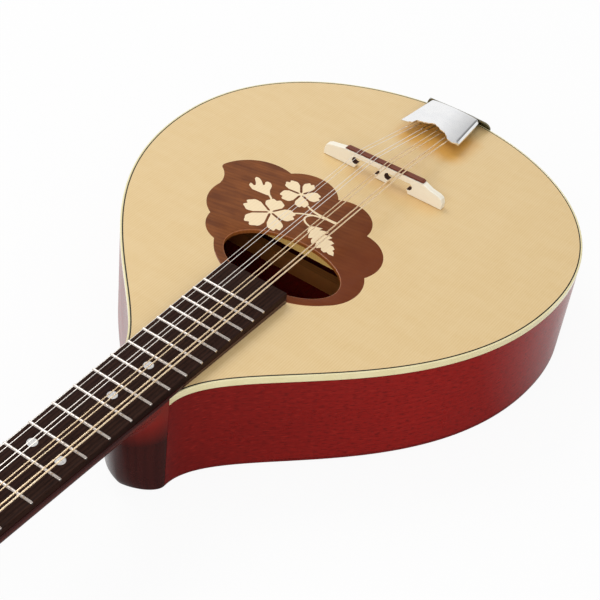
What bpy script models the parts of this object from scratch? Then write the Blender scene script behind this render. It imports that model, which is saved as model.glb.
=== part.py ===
"""Irish bouzouki: a long-necked, teardrop-bodied lute with four pairs of strings.

Metres, +Z up. The origin lies on the flat back, under the theoretical saddle line.
+Y runs from the nut to the tail, and +X is the side of the bass strings.
"""
import math

import bpy
import bmesh
from mathutils import Matrix, Vector

# Driving dimensions of the whole instrument
SCALE_LENGTH = 0.660
FRET_COUNT = 23
HEEL_FRET = 16
BODY_DEPTH = 0.074
GAP = 0.0003

# Body outline, half of it: two curves that meet at the widest place
TAIL_Y = 0.1086
WIDEST_Y = -0.0316
BODY_HALF_WIDTH = 0.1526
HEEL_HALF_WIDTH = 0.022
TAIL_HANDLE = 0.0653
BOUT_HANDLE = 0.0971
FLANK_HANDLE = 0.1325
HEEL_HANDLE = 0.0496
HEEL_HANDLE_ANGLE = math.radians(93.4)
OUTLINE_STEPS = 28

# Plates, sides and edges of the body
SOUNDBOARD_THICKNESS = 0.003
BACK_THICKNESS = 0.003
BACK_EDGE_ROUND = 0.0012
SIDE_THICKNESS = 0.002
BINDING_WIDTH = 0.0011
BINDING_HEIGHT = 0.005
PURFLING_WIDTH = 0.0006
LINING_WIDTH = 0.006
LINING_HEIGHT = 0.012
NECK_BLOCK_LENGTH = 0.052
TAIL_BLOCK_HALF_WIDTH = 0.030
TAIL_BLOCK_THICKNESS = 0.018
BRACE_WIDTH = 0.007
BRACE_HEIGHT = 0.012
BRACE_END_HEIGHT = 0.004
BRACE_SCALLOP = 0.030
TOP_BRACE_PLACES = (-0.168, -0.066, 0.030)
BACK_BRACE_PLACES = (-0.150, -0.050, 0.050)

# Sound hole and the rosewood plate let in round it
HOLE_CENTRE = (-0.0012, -0.1216)
HOLE_HALF_LENGTH = 0.0419
HOLE_HALF_WIDTH = 0.0259
HOLE_STEPS = 40
HOLE_RING_WIDTH = 0.007
HOLE_RING_THICKNESS = 0.0025
PLATE_THICKNESS = 0.0015
PLATE_ARC_STEPS = 7
INLAY_THICKNESS = 0.0007

# Neck and fingerboard
PLANE_SLOPE = 0.0086
BOARD_RISE = 0.0029
BOARD_THICKNESS = 0.0046
BOARD_END_Y = -0.151
BOARD_HALF_AT_OCTAVE = 0.0207
BOARD_TAPER = 0.01604
FRET_HEIGHT = 0.0011
FRET_WIDTH = 0.0024
FRET_CROWN = 0.0012
NECK_DEPTH_AT_NUT = 0.0145
NECK_DEPTH_AT_HEEL = 0.0185
NECK_STEPS = 8
NECK_ARC_STEPS = 14
HEEL_TOP_LENGTH = 0.024
HEEL_CAP_LENGTH = 0.012
HEEL_HALF_DRAFT = 0.0003
HEEL_ROUND = 1.85
HEEL_SPREAD = 0.32
HEEL_SLICES = 9
HEEL_ARC_STEPS = 14
ROD_WIDTH = 0.005
ROD_DEPTH = 0.008
ROD_START = 0.016
ROD_END_MARGIN = 0.0221
NUT_LENGTH = 0.005
NUT_LIP = 0.0006

# Headstock, four tuners on each side
HEAD_ANGLE = math.radians(12.5)
HEAD_LENGTH = 0.140
HEAD_THICKNESS = 0.0145
HEAD_SHOULDER = 0.032
HEAD_HALF_WIDTH = 0.0315
HEAD_TIP_HALF_WIDTH = 0.0255
HEAD_CROWN = 0.006
VENEER_THICKNESS = 0.0015
VENEER_SETBACK = 0.0008
POST_COUNT = 4
POST_PITCH = 0.0245
POST_START = 0.045
POST_X = 0.0210
ROW_ANGLE = math.radians(3.5)
POST_RADIUS = 0.0030
POST_TOP = 0.0120
POST_HOLE_CLEARANCE = 0.0006
POST_SIDES = 12

# Open gear tuners
TUNER_PLATE_THICKNESS = 0.0012
TUNER_PLATE_HALF_WIDTH = 0.0088
GEAR_TEETH = 14
GEAR_MODULE = 0.0007
GEAR_THICKNESS = 0.0030
GEAR_TIP = 0.00045
GEAR_ROOT = 0.00070
WORM_DROP = 0.0034
WORM_CORE_RADIUS = 0.0020
WORM_TIP_RADIUS = 0.0030
WORM_AXIS_OFFSET = 0.00785
WORM_HALF_LENGTH = 0.0036
WORM_STEPS = 10
RIDGE_HALF_ROOT = 0.00042
RIDGE_HALF_TIP = 0.00022
SHAFT_RADIUS = 0.0016
SHAFT_CLEARANCE = 0.0004
EAR_THICKNESS = 0.0012
EAR_HALF_WIDTH = 0.0030
EAR_X = 0.0048
BUTTON_START = 0.0150
BUTTON_LENGTH = 0.0150
BUTTON_HALF_WIDTH = 0.0085
BUTTON_HALF_THICKNESS = 0.0036
BUTTON_SWELL = (0.42, 0.78, 1.0, 0.98, 0.80, 0.45)

# Bridge and saddle strip
BRIDGE_X = -0.0016
BRIDGE_Y = -0.0007
BRIDGE_THICKNESS = 0.0048
BRIDGE_HALF_LENGTH = 0.0483
BRIDGE_TREBLE_HEIGHT = 0.0118
BRIDGE_BASS_HEIGHT = 0.0134
BRIDGE_END_HEIGHT = 0.0095
SADDLE_HALF_LENGTH = 0.0320
SADDLE_THICKNESS = 0.0044
SADDLE_HEIGHT = 0.0012
ARCH_HEIGHT = 0.0084
ARCH_BITE_RADIUS = 0.0026
ARCH_BITE_HEIGHT = 0.0060
ARCHES = ((-0.0240, -0.0065), (0.0028, 0.0198))

# Strings: diameters from treble to bass, and where the pairs cross nut and saddle
STRING_DIAMETERS = (0.00036, 0.00036, 0.00048, 0.00048, 0.00074, 0.00074, 0.00104, 0.00104)
NUT_PAIRS = (-0.0118, -0.0041, 0.0037, 0.0110)
SADDLE_PAIRS = (-0.0215, -0.0103, 0.0007, 0.0130)
NUT_PAIR_GAP = 0.0026
SADDLE_PAIR_GAP = 0.0028
NUT_ACTION = 0.0005
WINDING_TURNS = 2.2
WINDING_STEPS = 10
WINDING_SPACE = 0.0005
WINDING_TOP = 0.0082

# Tailpiece
TAILPIECE_X = -0.0030
TAILPIECE_THICKNESS = 0.0012
BASE_HALF_WIDTH = 0.0268
BASE_TOP_HALF_WIDTH = 0.0212
BASE_DROP = 0.034
BASE_LIFT = 0.0005
BASE_ARCH_HEIGHT = 0.0086
BASE_ARCH_STEPS = 5
BASE_ARCH_FLATNESS = 1.35
BASE_TRAY_HALF_WIDTH = 0.0180
BASE_TRAY_FRONT = 0.0760
HOOK_Y = 0.0930
HOOK_HEIGHT = 0.0022
HOOK_SIZE = 0.0011
COVER_THICKNESS = 0.0008
COVER_FRONT_Y = 0.0600
COVER_BACK_Y = 0.0995
COVER_FRONT_HEIGHT = 0.0088
COVER_BACK_HEIGHT = 0.0090
COVER_FRONT_HALF_WIDTH = 0.0240
COVER_BACK_HALF_WIDTH = 0.0205
COVER_FLANGE = 0.0050
COVER_CROWN = 0.0012
PIN_RADIUS = 0.0034
PIN_HEAD_RADIUS = 0.0065
PIN_LENGTH = 0.026
PIN_HEAD_LENGTH = 0.011
PIN_DEPTH = 0.036

# Heights and places that follow from the sizes above
HEEL_Y = -SCALE_LENGTH * 2 ** (-HEEL_FRET / 12)
NUT_Y = -SCALE_LENGTH
LINING_TOP = BODY_DEPTH - SOUNDBOARD_THICKNESS - GAP
LINING_INSET = max(SIDE_THICKNESS, BINDING_WIDTH) + GAP
LINING_INNER = LINING_INSET + LINING_WIDTH
SOUNDBOARD_INSET = BINDING_WIDTH + PURFLING_WIDTH + 2 * GAP
ROD_LENGTH = HEEL_Y - ROD_END_MARGIN - (NUT_Y + ROD_START)


def clear_scene():
    for old in list(bpy.data.objects):
        bpy.data.objects.remove(old)


def make_material(name, colour, roughness, metallic=0.0):
    material = bpy.data.materials.new(name)
    material.use_nodes = True
    shader = material.node_tree.nodes["Principled BSDF"]
    shader.inputs["Base Color"].default_value = (*colour, 1.0)
    shader.inputs["Roughness"].default_value = roughness
    shader.inputs["Metallic"].default_value = metallic
    return material


def make_object(name, bm, material=None, parent=None, place=None):
    """Turn a bmesh into a named object; place is its matrix under the parent."""
    bmesh.ops.remove_doubles(bm, verts=bm.verts, dist=1e-7)
    bmesh.ops.recalc_face_normals(bm, faces=bm.faces)
    mesh = bpy.data.meshes.new(name)
    bm.to_mesh(mesh)
    bm.free()
    return add_mesh(name, mesh, material, parent, place)


def add_mesh(name, mesh, material=None, parent=None, place=None):
    mesh.shade_smooth()
    mesh.set_sharp_from_angle(angle=math.radians(35))
    if material and not mesh.materials:
        mesh.materials.append(material)
    thing = bpy.data.objects.new(name, mesh)
    bpy.context.scene.collection.objects.link(thing)
    if parent:
        thing.parent = parent
    if place:
        thing.matrix_local = place
    return thing


def make_tool(name, bm, parent=None, place=None):
    """A shape that only cuts or joins another object; it is left out of the build."""
    tool = make_object(name, bm, None, parent, place)
    tool.hide_render = True
    tool.display_type = "WIRE"
    return tool


def combine(target, tool, operation):
    step = target.modifiers.new(operation.title() + " " + tool.name, "BOOLEAN")
    step.operation = operation
    step.solver = "EXACT"
    step.object = tool
    return step


def baked_mesh(thing, name):
    """The mesh of an object with its modifiers, so that copies can share it."""
    view = bpy.context.evaluated_depsgraph_get()
    mesh = bpy.data.meshes.new_from_object(thing.evaluated_get(view))
    mesh.name = name
    return mesh


def loft(sections, bm=None, caps=True):
    """Join closed sections of equal count with quads, and cap both ends."""
    bm = bm or bmesh.new()
    rings = [[bm.verts.new(point) for point in section] for section in sections]
    for near, far in zip(rings, rings[1:]):
        count = len(near)
        for i in range(count):
            j = (i + 1) % count
            bm.faces.new((near[i], near[j], far[j], far[i]))
    if caps:
        bm.faces.new(rings[0])
        bm.faces.new(rings[-1])
    return bm


def prism(outline, low, high, bm=None):
    """A flat outline in X and Y raised from one height to another."""
    return loft([[(x, y, z) for x, y in outline] for z in (low, high)], bm)


def turned(profile, sides, axis="Z", bm=None):
    """A solid of revolution from (radius, place along the axis) points."""
    sections = []
    for radius, along in profile:
        ring = []
        for i in range(sides):
            turn = 2 * math.pi * i / sides
            a, b = radius * math.cos(turn), radius * math.sin(turn)
            ring.append({"X": (along, a, b), "Y": (a, along, b), "Z": (a, b, along)}[axis])
        sections.append(ring)
    return loft(sections, bm)


def circle(centre, radius, sides):
    return [(centre[0] + radius * math.cos(2 * math.pi * i / sides),
             centre[1] + radius * math.sin(2 * math.pi * i / sides)) for i in range(sides)]


def arc_through(start, middle, end, steps):
    """Points of the round arc through three points, without the last one."""
    ax, ay = start
    bx, by = middle
    cx, cy = end
    d = 2 * (ax * (by - cy) + bx * (cy - ay) + cx * (ay - by))
    a2, b2, c2 = ax * ax + ay * ay, bx * bx + by * by, cx * cx + cy * cy
    ux = (a2 * (by - cy) + b2 * (cy - ay) + c2 * (ay - by)) / d
    uy = (a2 * (cx - bx) + b2 * (ax - cx) + c2 * (bx - ax)) / d
    radius = math.hypot(ax - ux, ay - uy)
    first = math.atan2(ay - uy, ax - ux)
    sweep = math.atan2(cy - uy, cx - ux) - first
    through = (math.atan2(by - uy, bx - ux) - first) % (2 * math.pi)
    sweep %= 2 * math.pi
    if through > sweep:
        sweep -= 2 * math.pi
    return [(ux + radius * math.cos(first + sweep * i / steps),
             uy + radius * math.sin(first + sweep * i / steps)) for i in range(steps)]


def grown(outline, distance):
    """An outline moved outwards by a small distance, whichever way it runs."""
    area = sum(a[0] * b[1] - b[0] * a[1] for a, b in zip(outline, outline[1:] + outline[:1]))
    side = 1 if area > 0 else -1
    result = []
    count = len(outline)
    for i, (x, y) in enumerate(outline):
        before, after = Vector(outline[i - 1]), Vector(outline[(i + 1) % count])
        here = Vector((x, y))
        one, two = (here - before).normalized(), (after - here).normalized()
        normal = Vector((one.y + two.y, -one.x - two.x)).normalized() * side
        reach = distance / max(0.5, abs(normal.dot(Vector((one.y, -one.x)))))
        result.append((x + normal.x * reach, y + normal.y * reach))
    return result


def bezier(points, t):
    a, b, c, d = (Vector(p) for p in points)
    s = 1 - t
    place = a * s ** 3 + b * (3 * s * s * t) + c * (3 * s * t * t) + d * t ** 3
    heading = (b - a) * (3 * s * s) + (c - b) * (6 * s * t) + (d - c) * (3 * t * t)
    return place, heading.normalized()


TAIL_CURVE = ((0, TAIL_Y), (TAIL_HANDLE, TAIL_Y),
              (BODY_HALF_WIDTH, WIDEST_Y + BOUT_HANDLE), (BODY_HALF_WIDTH, WIDEST_Y))
FLANK_CURVE = ((BODY_HALF_WIDTH, WIDEST_Y), (BODY_HALF_WIDTH, WIDEST_Y - FLANK_HANDLE),
               (HEEL_HALF_WIDTH + HEEL_HANDLE * math.cos(HEEL_HANDLE_ANGLE),
                HEEL_Y + HEEL_HANDLE * math.sin(HEEL_HANDLE_ANGLE)), (HEEL_HALF_WIDTH, HEEL_Y))


def edge_point(travel, inset):
    """A point of the body's edge: travel 0 is the tail, 1 the widest place, 2 the heel."""
    if travel < 1:
        place, heading = bezier(TAIL_CURVE, travel)
    else:
        place, heading = bezier(FLANK_CURVE, min(travel, 2) - 1)
    return place + Vector((heading.y, -heading.x)) * inset


def half_grid(inset):
    """Points of one half of the outline from the tail to the heel, at the same travels for
    every inset, so that neighbouring strips stay parallel."""
    points = [edge_point(2 * i / OUTLINE_STEPS, inset) for i in range(OUTLINE_STEPS + 1)]
    return [(p.x, p.y) for p in points]


def crossing(points, value, axis):
    """The place where a chain of points passes a value of x (axis 0) or y (axis 1)."""
    for a, b in zip(points, points[1:]):
        if (a[axis] - value) * (b[axis] - value) <= 0 and a[axis] != b[axis]:
            share = (value - a[axis]) / (b[axis] - a[axis])
            return (a[0] + (b[0] - a[0]) * share, a[1] + (b[1] - a[1]) * share)
    return points[-1]


def half_edge(inset, end_y, start_y=None):
    """Points of one half of the outline, from the tail, or from start_y, to end_y."""
    grid = half_grid(inset)
    first = grid[0] if start_y is None else crossing(grid, start_y, 1)
    if grid[-1][1] > end_y:
        grid.append((grid[-1][0], end_y))
    last = crossing(grid, end_y, 1)
    between = [p for p in grid if last[1] + 1e-5 < p[1] < first[1] - 1e-5]
    return [first] + between + [last]


def mirrored(points):
    return [(-x, y) for x, y in points]


def edge_loop(inset, end_y=HEEL_Y):
    """The closed outline of a whole plate."""
    half = half_edge(inset, end_y)
    return half[::-1] + mirrored(half)[1:]


def edge_strip(outer, inner, low, high, end_y=HEEL_Y):
    """A strip that runs round the body's edge from one side of the heel to the other."""
    out, into = half_edge(outer, end_y), half_edge(inner, end_y)
    out = mirrored(out)[::-1] + out[1:]
    into = mirrored(into)[::-1] + into[1:]
    return loft([[(*a, low), (*a, high), (*b, high), (*b, low)] for a, b in zip(out, into)])


def half_width_at(y, inset):
    return crossing(half_grid(inset), y, 1)[0]


def tail_edge_y(x, inset):
    """The y of the tail's edge at a given x."""
    return crossing(half_grid(inset), abs(x), 0)[1]


# Materials, from what the photograph shows
def make_materials():
    return {
        "spruce": make_material("spruce_top", (0.86, 0.68, 0.40), 0.32),
        "maple": make_material("pale_maple", (0.90, 0.79, 0.60), 0.45),
        "rosewood": make_material("rosewood_plate", (0.20, 0.075, 0.035), 0.38),
        "saddle": make_material("rosewood_saddle", (0.14, 0.05, 0.035), 0.45),
        "cream": make_material("cream_binding", (0.88, 0.80, 0.52), 0.30),
        "black": make_material("black_purfling", (0.02, 0.018, 0.015), 0.40),
        "red": make_material("red_stained_sides", (0.26, 0.018, 0.015), 0.16),
        "neck": make_material("red_brown_neck", (0.10, 0.018, 0.014), 0.22),
        "board": make_material("dark_fingerboard", (0.030, 0.018, 0.016), 0.42),
        "block": make_material("inner_softwood", (0.62, 0.44, 0.25), 0.70),
        "bone": make_material("bone_nut", (0.88, 0.84, 0.74), 0.35),
        "rod": make_material("reinforcing_rod", (0.03, 0.03, 0.03), 0.50),
        "steel": make_material("polished_steel", (0.80, 0.81, 0.83), 0.12, 1.0),
        "button": make_material("cream_button", (0.86, 0.80, 0.66), 0.25),
        "plain": make_material("plain_string", (0.72, 0.72, 0.72), 0.22, 1.0),
        "bronze": make_material("bronze_string", (0.70, 0.45, 0.20), 0.30, 1.0),
    }


# Body shell
def build_shell(mats):
    top_strip_low = BODY_DEPTH - BINDING_HEIGHT
    back = prism(edge_loop(0), 0, BACK_THICKNESS)
    rim = [e for e in back.edges if all(v.co.z < BACK_THICKNESS / 2 for v in e.verts)]
    bmesh.ops.bevel(back, geom=rim, offset=BACK_EDGE_ROUND, segments=2, profile=0.5,
                    affect="EDGES", material=-1)
    make_object("back", back, mats["red"])
    for name, side in (("side_bass", 1), ("side_treble", -1)):
        outer, inner = half_edge(0, HEEL_Y), half_edge(SIDE_THICKNESS, HEEL_Y)
        low, high = BACK_THICKNESS + GAP, top_strip_low - GAP
        rows = []
        for a, b in zip(outer, inner):
            ax, bx = side * max(a[0], GAP / 2), side * max(b[0], GAP / 2)
            rows.append([(ax, a[1], low), (ax, a[1], high), (bx, b[1], high), (bx, b[1], low)])
        shell = make_object(name, loft(rows), mats["red"])
        combine(shell, pin_hole_tool(name), "DIFFERENCE")
    make_object("binding", edge_strip(0, BINDING_WIDTH, top_strip_low, BODY_DEPTH), mats["cream"])
    purfling_start = BINDING_WIDTH + GAP
    make_object("purfling", edge_strip(purfling_start, purfling_start + PURFLING_WIDTH,
                                       BODY_DEPTH - SOUNDBOARD_THICKNESS, BODY_DEPTH), mats["black"])


def pin_hole_tool(name):
    """The bore for the end pin, through tailpiece, side and block."""
    reach = 0.05
    bore = turned([(PIN_RADIUS + GAP, TAIL_Y - reach), (PIN_RADIUS + GAP, TAIL_Y + reach)], 16, "Y")
    return make_tool(name + "_pin_bore", bore, None, Matrix.Translation((0, 0, BODY_DEPTH - PIN_DEPTH)))


# Blocks, linings and braces inside the body
def build_frame(mats):
    block_end = HEEL_Y + NECK_BLOCK_LENGTH
    flank = half_edge(LINING_INSET, HEEL_Y, block_end)
    neck_block = prism(flank[::-1] + mirrored(flank), BACK_THICKNESS + GAP, LINING_TOP)
    make_object("neck_block", neck_block, mats["block"])
    lining_end = block_end + GAP
    make_object("lining_top", edge_strip(LINING_INSET, LINING_INNER, LINING_TOP - LINING_HEIGHT,
                                         LINING_TOP, lining_end), mats["block"])
    low = BACK_THICKNESS + GAP
    make_object("lining_back", edge_strip(LINING_INSET, LINING_INNER, low, low + LINING_HEIGHT,
                                          lining_end), mats["block"])
    build_tail_block(mats, low + LINING_HEIGHT + GAP, LINING_TOP - LINING_HEIGHT - GAP)
    for i, y in enumerate(TOP_BRACE_PLACES):
        build_brace("top_brace_%d" % (i + 1), y, LINING_TOP, -1, mats["block"])
    for i, y in enumerate(BACK_BRACE_PLACES):
        build_brace("back_brace_%d" % (i + 1), y, low, 1, mats["block"])


def build_tail_block(mats, low, high):
    inset = SIDE_THICKNESS + GAP
    steps = 8
    outer = []
    for i in range(steps + 1):
        x = TAIL_BLOCK_HALF_WIDTH * (2 * i / steps - 1)
        outer.append((x, tail_edge_y(x, inset)))
    front = TAIL_Y - SIDE_THICKNESS - TAIL_BLOCK_THICKNESS
    outline = outer + [(TAIL_BLOCK_HALF_WIDTH, front), (-TAIL_BLOCK_HALF_WIDTH, front)]
    block = make_object("tail_block", prism(outline, low, high), mats["block"])
    combine(block, pin_hole_tool("tail_block"), "DIFFERENCE")


def build_brace(name, y, seat, direction, material):
    """A bar glued across a plate, with its ends cut down to slip past the lining."""
    half = min(half_width_at(y + side * BRACE_WIDTH / 2, LINING_INNER + 2 * GAP) for side in (-1, 1))
    tall, short = seat + direction * BRACE_HEIGHT, seat + direction * BRACE_END_HEIGHT
    profile = [(-half, seat), (half, seat), (half, short), (half - BRACE_SCALLOP, tall),
               (BRACE_SCALLOP - half, tall), (-half, short)]
    rows = [[(x, y + side * BRACE_WIDTH / 2, z) for x, z in profile] for side in (-1, 1)]
    make_object(name, loft(rows), material)


# Soundboard, sound hole plate and its floral inlay
def hole_outline():
    points = []
    for i in range(HOLE_STEPS):
        turn = 2 * math.pi * i / HOLE_STEPS
        points.append((HOLE_CENTRE[0] + HOLE_HALF_LENGTH * math.cos(turn),
                       HOLE_CENTRE[1] + HOLE_HALF_WIDTH * math.sin(turn)))
    return points


# Each arc of the plate: the point where it ends, and a point on the way there
PLATE_START = (-0.0930, -0.0607)
PLATE_ARCS = (
    ((-0.0525, -0.0388), (-0.0785, -0.0422)),
    ((-0.0115, -0.0412), (-0.0330, -0.0296)),
    ((0.0245, -0.0608), (0.0115, -0.0399)),
    ((0.0467, -0.0980), (0.0445, -0.0720)),
    ((0.0430, -0.1365), (0.0524, -0.1175)),
    ((0.0225, -0.1505), (0.0335, -0.1448)),
    ((-0.0310, -0.1475), (-0.0040, -0.1570)),
    ((-0.0485, -0.1305), (-0.0410, -0.1400)),
    ((-0.0670, -0.1107), (-0.0615, -0.1229)),
    ((-0.0820, -0.0810), (-0.0785, -0.0997)),
    ((-0.0915, -0.0655), (-0.0860, -0.0707)),
    ((-0.0930, -0.0607), (-0.0931, -0.0632)),
)


def plate_outline():
    points = []
    start = PLATE_START
    for end, middle in PLATE_ARCS:
        points += arc_through(start, middle, end, PLATE_ARC_STEPS)
        start = end
    return points


def build_top(mats):
    low = BODY_DEPTH - SOUNDBOARD_THICKNESS
    over, under = BODY_DEPTH + 0.002, low - 0.006
    board = make_object("soundboard", prism(edge_loop(SOUNDBOARD_INSET), low, BODY_DEPTH), mats["spruce"])
    plate_low = BODY_DEPTH - PLATE_THICKNESS
    pocket = prism(grown(plate_outline(), GAP), plate_low - GAP, over)
    combine(board, make_tool("plate_pocket", pocket), "DIFFERENCE")
    opening = make_tool("sound_hole_cut", prism(hole_outline(), under, over))
    combine(board, opening, "DIFFERENCE")
    plate = make_object("soundhole_plate", prism(plate_outline(), plate_low, BODY_DEPTH), mats["rosewood"])
    combine(plate, opening, "DIFFERENCE")
    patch = prism(grown(hole_outline(), HOLE_RING_WIDTH), LINING_TOP - HOLE_RING_THICKNESS, LINING_TOP)
    combine(make_object("soundhole_ring", patch, mats["block"]), opening, "DIFFERENCE")
    inlay_low = BODY_DEPTH - INLAY_THICKNESS
    for name, outlines in inlay_outlines():
        inlay = make_object(name, prism(outlines[0], inlay_low, BODY_DEPTH), mats["maple"])
        for i, outline in enumerate(outlines):
            seat = prism(grown(outline, GAP), inlay_low - GAP, over)
            combine(plate, make_tool("%s_seat_%d" % (name, i), seat), "DIFFERENCE")
            if i > 0:
                branch = make_tool("%s_branch_%d" % (name, i), prism(outline, inlay_low, BODY_DEPTH))
                combine(inlay, branch, "UNION")


# A blossom's gaps between its petals, in degrees, and each petal's reach after its gap
LARGE_BLOSSOM = ((-0.0385, -0.0832), (
    (60, 0.0152), (150, 0.0195), (210, 0.0200), (290, 0.0175), (348, 0.0155)))
SMALL_BLOSSOM = ((-0.0347, -0.0545), (
    (45, 0.0128), (118, 0.0148), (177, 0.0132), (272, 0.0128), (356, 0.0122)))
PETAL_GAP = 0.0011
BLOSSOM_HUB = 0.0016
PETAL_STEPS = 8


def blossom_outline(centre, petals):
    """Petals round a hub, with straight gaps between them and two notches in each tip."""
    points = []
    for i, (start, reach) in enumerate(petals):
        end = petals[(i + 1) % len(petals)][0] + (360 if i == len(petals) - 1 else 0)
        points.append(polar(centre, BLOSSOM_HUB * 0.8, math.radians(start)))
        for k in range(PETAL_STEPS + 1):
            share = k / PETAL_STEPS
            turn = math.radians(start + (end - start) * share)
            edge = 4 * share * (1 - share)
            wave = 0.94 + 0.06 * math.cos(4 * math.pi * share + math.pi)
            radius = reach * (0.70 + 0.30 * min(1.0, edge * 1.9)) * wave
            if k in (0, PETAL_STEPS):
                inward = 1 if k == 0 else -1
                root = BLOSSOM_HUB + 0.0006
                near = polar(centre, root, turn + inward * math.asin(PETAL_GAP / 2 / root))
                far = polar(centre, radius, turn + inward * math.asin(PETAL_GAP / 2 / radius))
                points += [near, far] if k == 0 else [far, near]
            else:
                points.append(polar(centre, radius, turn))
    return points


def polar(centre, radius, turn):
    return (centre[0] + radius * math.cos(turn), centre[1] + radius * math.sin(turn))


# The bud, from its stem end round its three tips
BUD = ((-0.0478, -0.0690), (-0.0510, -0.0688), (-0.0524, -0.0640), (-0.0536, -0.0588), (-0.0556, -0.0570),
       (-0.0585, -0.0574), (-0.0592, -0.0592), (-0.0578, -0.0612), (-0.0592, -0.0634), (-0.0622, -0.0618),
       (-0.0640, -0.0580), (-0.0690, -0.0580), (-0.0672, -0.0606), (-0.0652, -0.0640), (-0.0632, -0.0662),
       (-0.0672, -0.0662), (-0.0655, -0.0700), (-0.0625, -0.0720), (-0.0560, -0.0708), (-0.0480, -0.0704))
LEAF_BASE = (-0.0098, -0.0782)
LEAF_TIP = (0.0195, -0.0932)
LEAF_HALF_WIDTH = 0.0072
LEAF_TEETH = 5
STEM_WIDTH = 0.0013


def leaf_outline():
    """A saw-edged leaf: each tooth ends in a notch that points back to the base."""
    base, tip = Vector(LEAF_BASE), Vector(LEAF_TIP)
    along = tip - base
    across = Vector((-along.y, along.x)).normalized()
    upper, lower = [], []
    for i in range(LEAF_TEETH):
        for share, swell in (((i + 0.15) / LEAF_TEETH, 0.68), ((i + 0.85) / LEAF_TEETH, 1.0)):
            width = LEAF_HALF_WIDTH * swell * math.sin(math.pi * share ** 0.75) ** 0.8
            place = base + along * share
            upper.append(place + across * width)
            lower.append(place - across * width)
    loop = [base] + lower + [tip] + upper[::-1]
    return [(p.x, p.y) for p in loop]


def stem_outline(points, widths):
    """A ribbon along a few points, wide as given at each of them."""
    left, right = [], []
    for i, (point, width) in enumerate(zip(points, widths)):
        before, after = Vector(points[max(i - 1, 0)]), Vector(points[min(i + 1, len(points) - 1)])
        heading = (after - before).normalized()
        side = Vector((-heading.y, heading.x)) * width / 2
        left.append(tuple(Vector(point) + side))
        right.append(tuple(Vector(point) - side))
    return left + right[::-1]


UPPER_STEM = ((-0.0212, -0.0618), (-0.0165, -0.0631), (-0.0080, -0.0633), (-0.0020, -0.0632), (0.0022, -0.0632))
LOWER_STEM = ((-0.0235, -0.0722), (-0.0190, -0.0690), (-0.0150, -0.0665), (-0.0112, -0.0648), (-0.0080, -0.0640))
LEAF_STEM = ((-0.0206, -0.0704), (-0.0182, -0.0748), (-0.0150, -0.0776), (-0.0112, -0.0786))


def inlay_outlines():
    """Each inlay's name, and the outlines that make it."""
    return (
        ("inlay_large_blossom", [blossom_outline(*LARGE_BLOSSOM)]),
        ("inlay_small_blossom", [blossom_outline(*SMALL_BLOSSOM)]),
        ("inlay_bud", [list(BUD)]),
        ("inlay_leaf", [leaf_outline()]),
        ("inlay_stem", [stem_outline(UPPER_STEM, (STEM_WIDTH, STEM_WIDTH, 0.0018, 0.0022, 0.0026)),
                        stem_outline(LOWER_STEM, [STEM_WIDTH] * len(LOWER_STEM)),
                        stem_outline(LEAF_STEM, [STEM_WIDTH] * len(LEAF_STEM))]),
    )


# Neck, fingerboard and nut
def plane_height(y):
    """The top of the neck, where the fingerboard is glued: it rises towards the tail."""
    return BODY_DEPTH + BOARD_RISE + (y - HEEL_Y) * PLANE_SLOPE


def board_half_width(y):
    return BOARD_HALF_AT_OCTAVE + BOARD_TAPER * (y + SCALE_LENGTH / 2)


def fret_y(number):
    return -SCALE_LENGTH * 2 ** (-number / 12)


def neck_section(y, depth):
    """A flat top with a rounded back, the section of the neck at y."""
    half = board_half_width(y)
    top = plane_height(y) - GAP
    ring = []
    for i in range(NECK_ARC_STEPS + 1):
        turn = math.pi * i / NECK_ARC_STEPS
        x = half * math.cos(turn)
        z = top - depth * math.sin(turn) ** 0.85
        ring.append((x, y, z))
    return ring


def tongue_section(y):
    """The thin part of the neck that lies on the soundboard, under the fingerboard."""
    half = board_half_width(y)
    top, low = plane_height(y) - GAP, BODY_DEPTH + GAP
    ring = []
    for i in range(NECK_ARC_STEPS + 1):
        x = half * math.cos(math.pi * i / NECK_ARC_STEPS)
        edge = i in (0, NECK_ARC_STEPS)
        ring.append((x, y, top if edge else low))
    ring[1] = (half, y, low)
    ring[-2] = (-half, y, low)
    return ring


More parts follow.
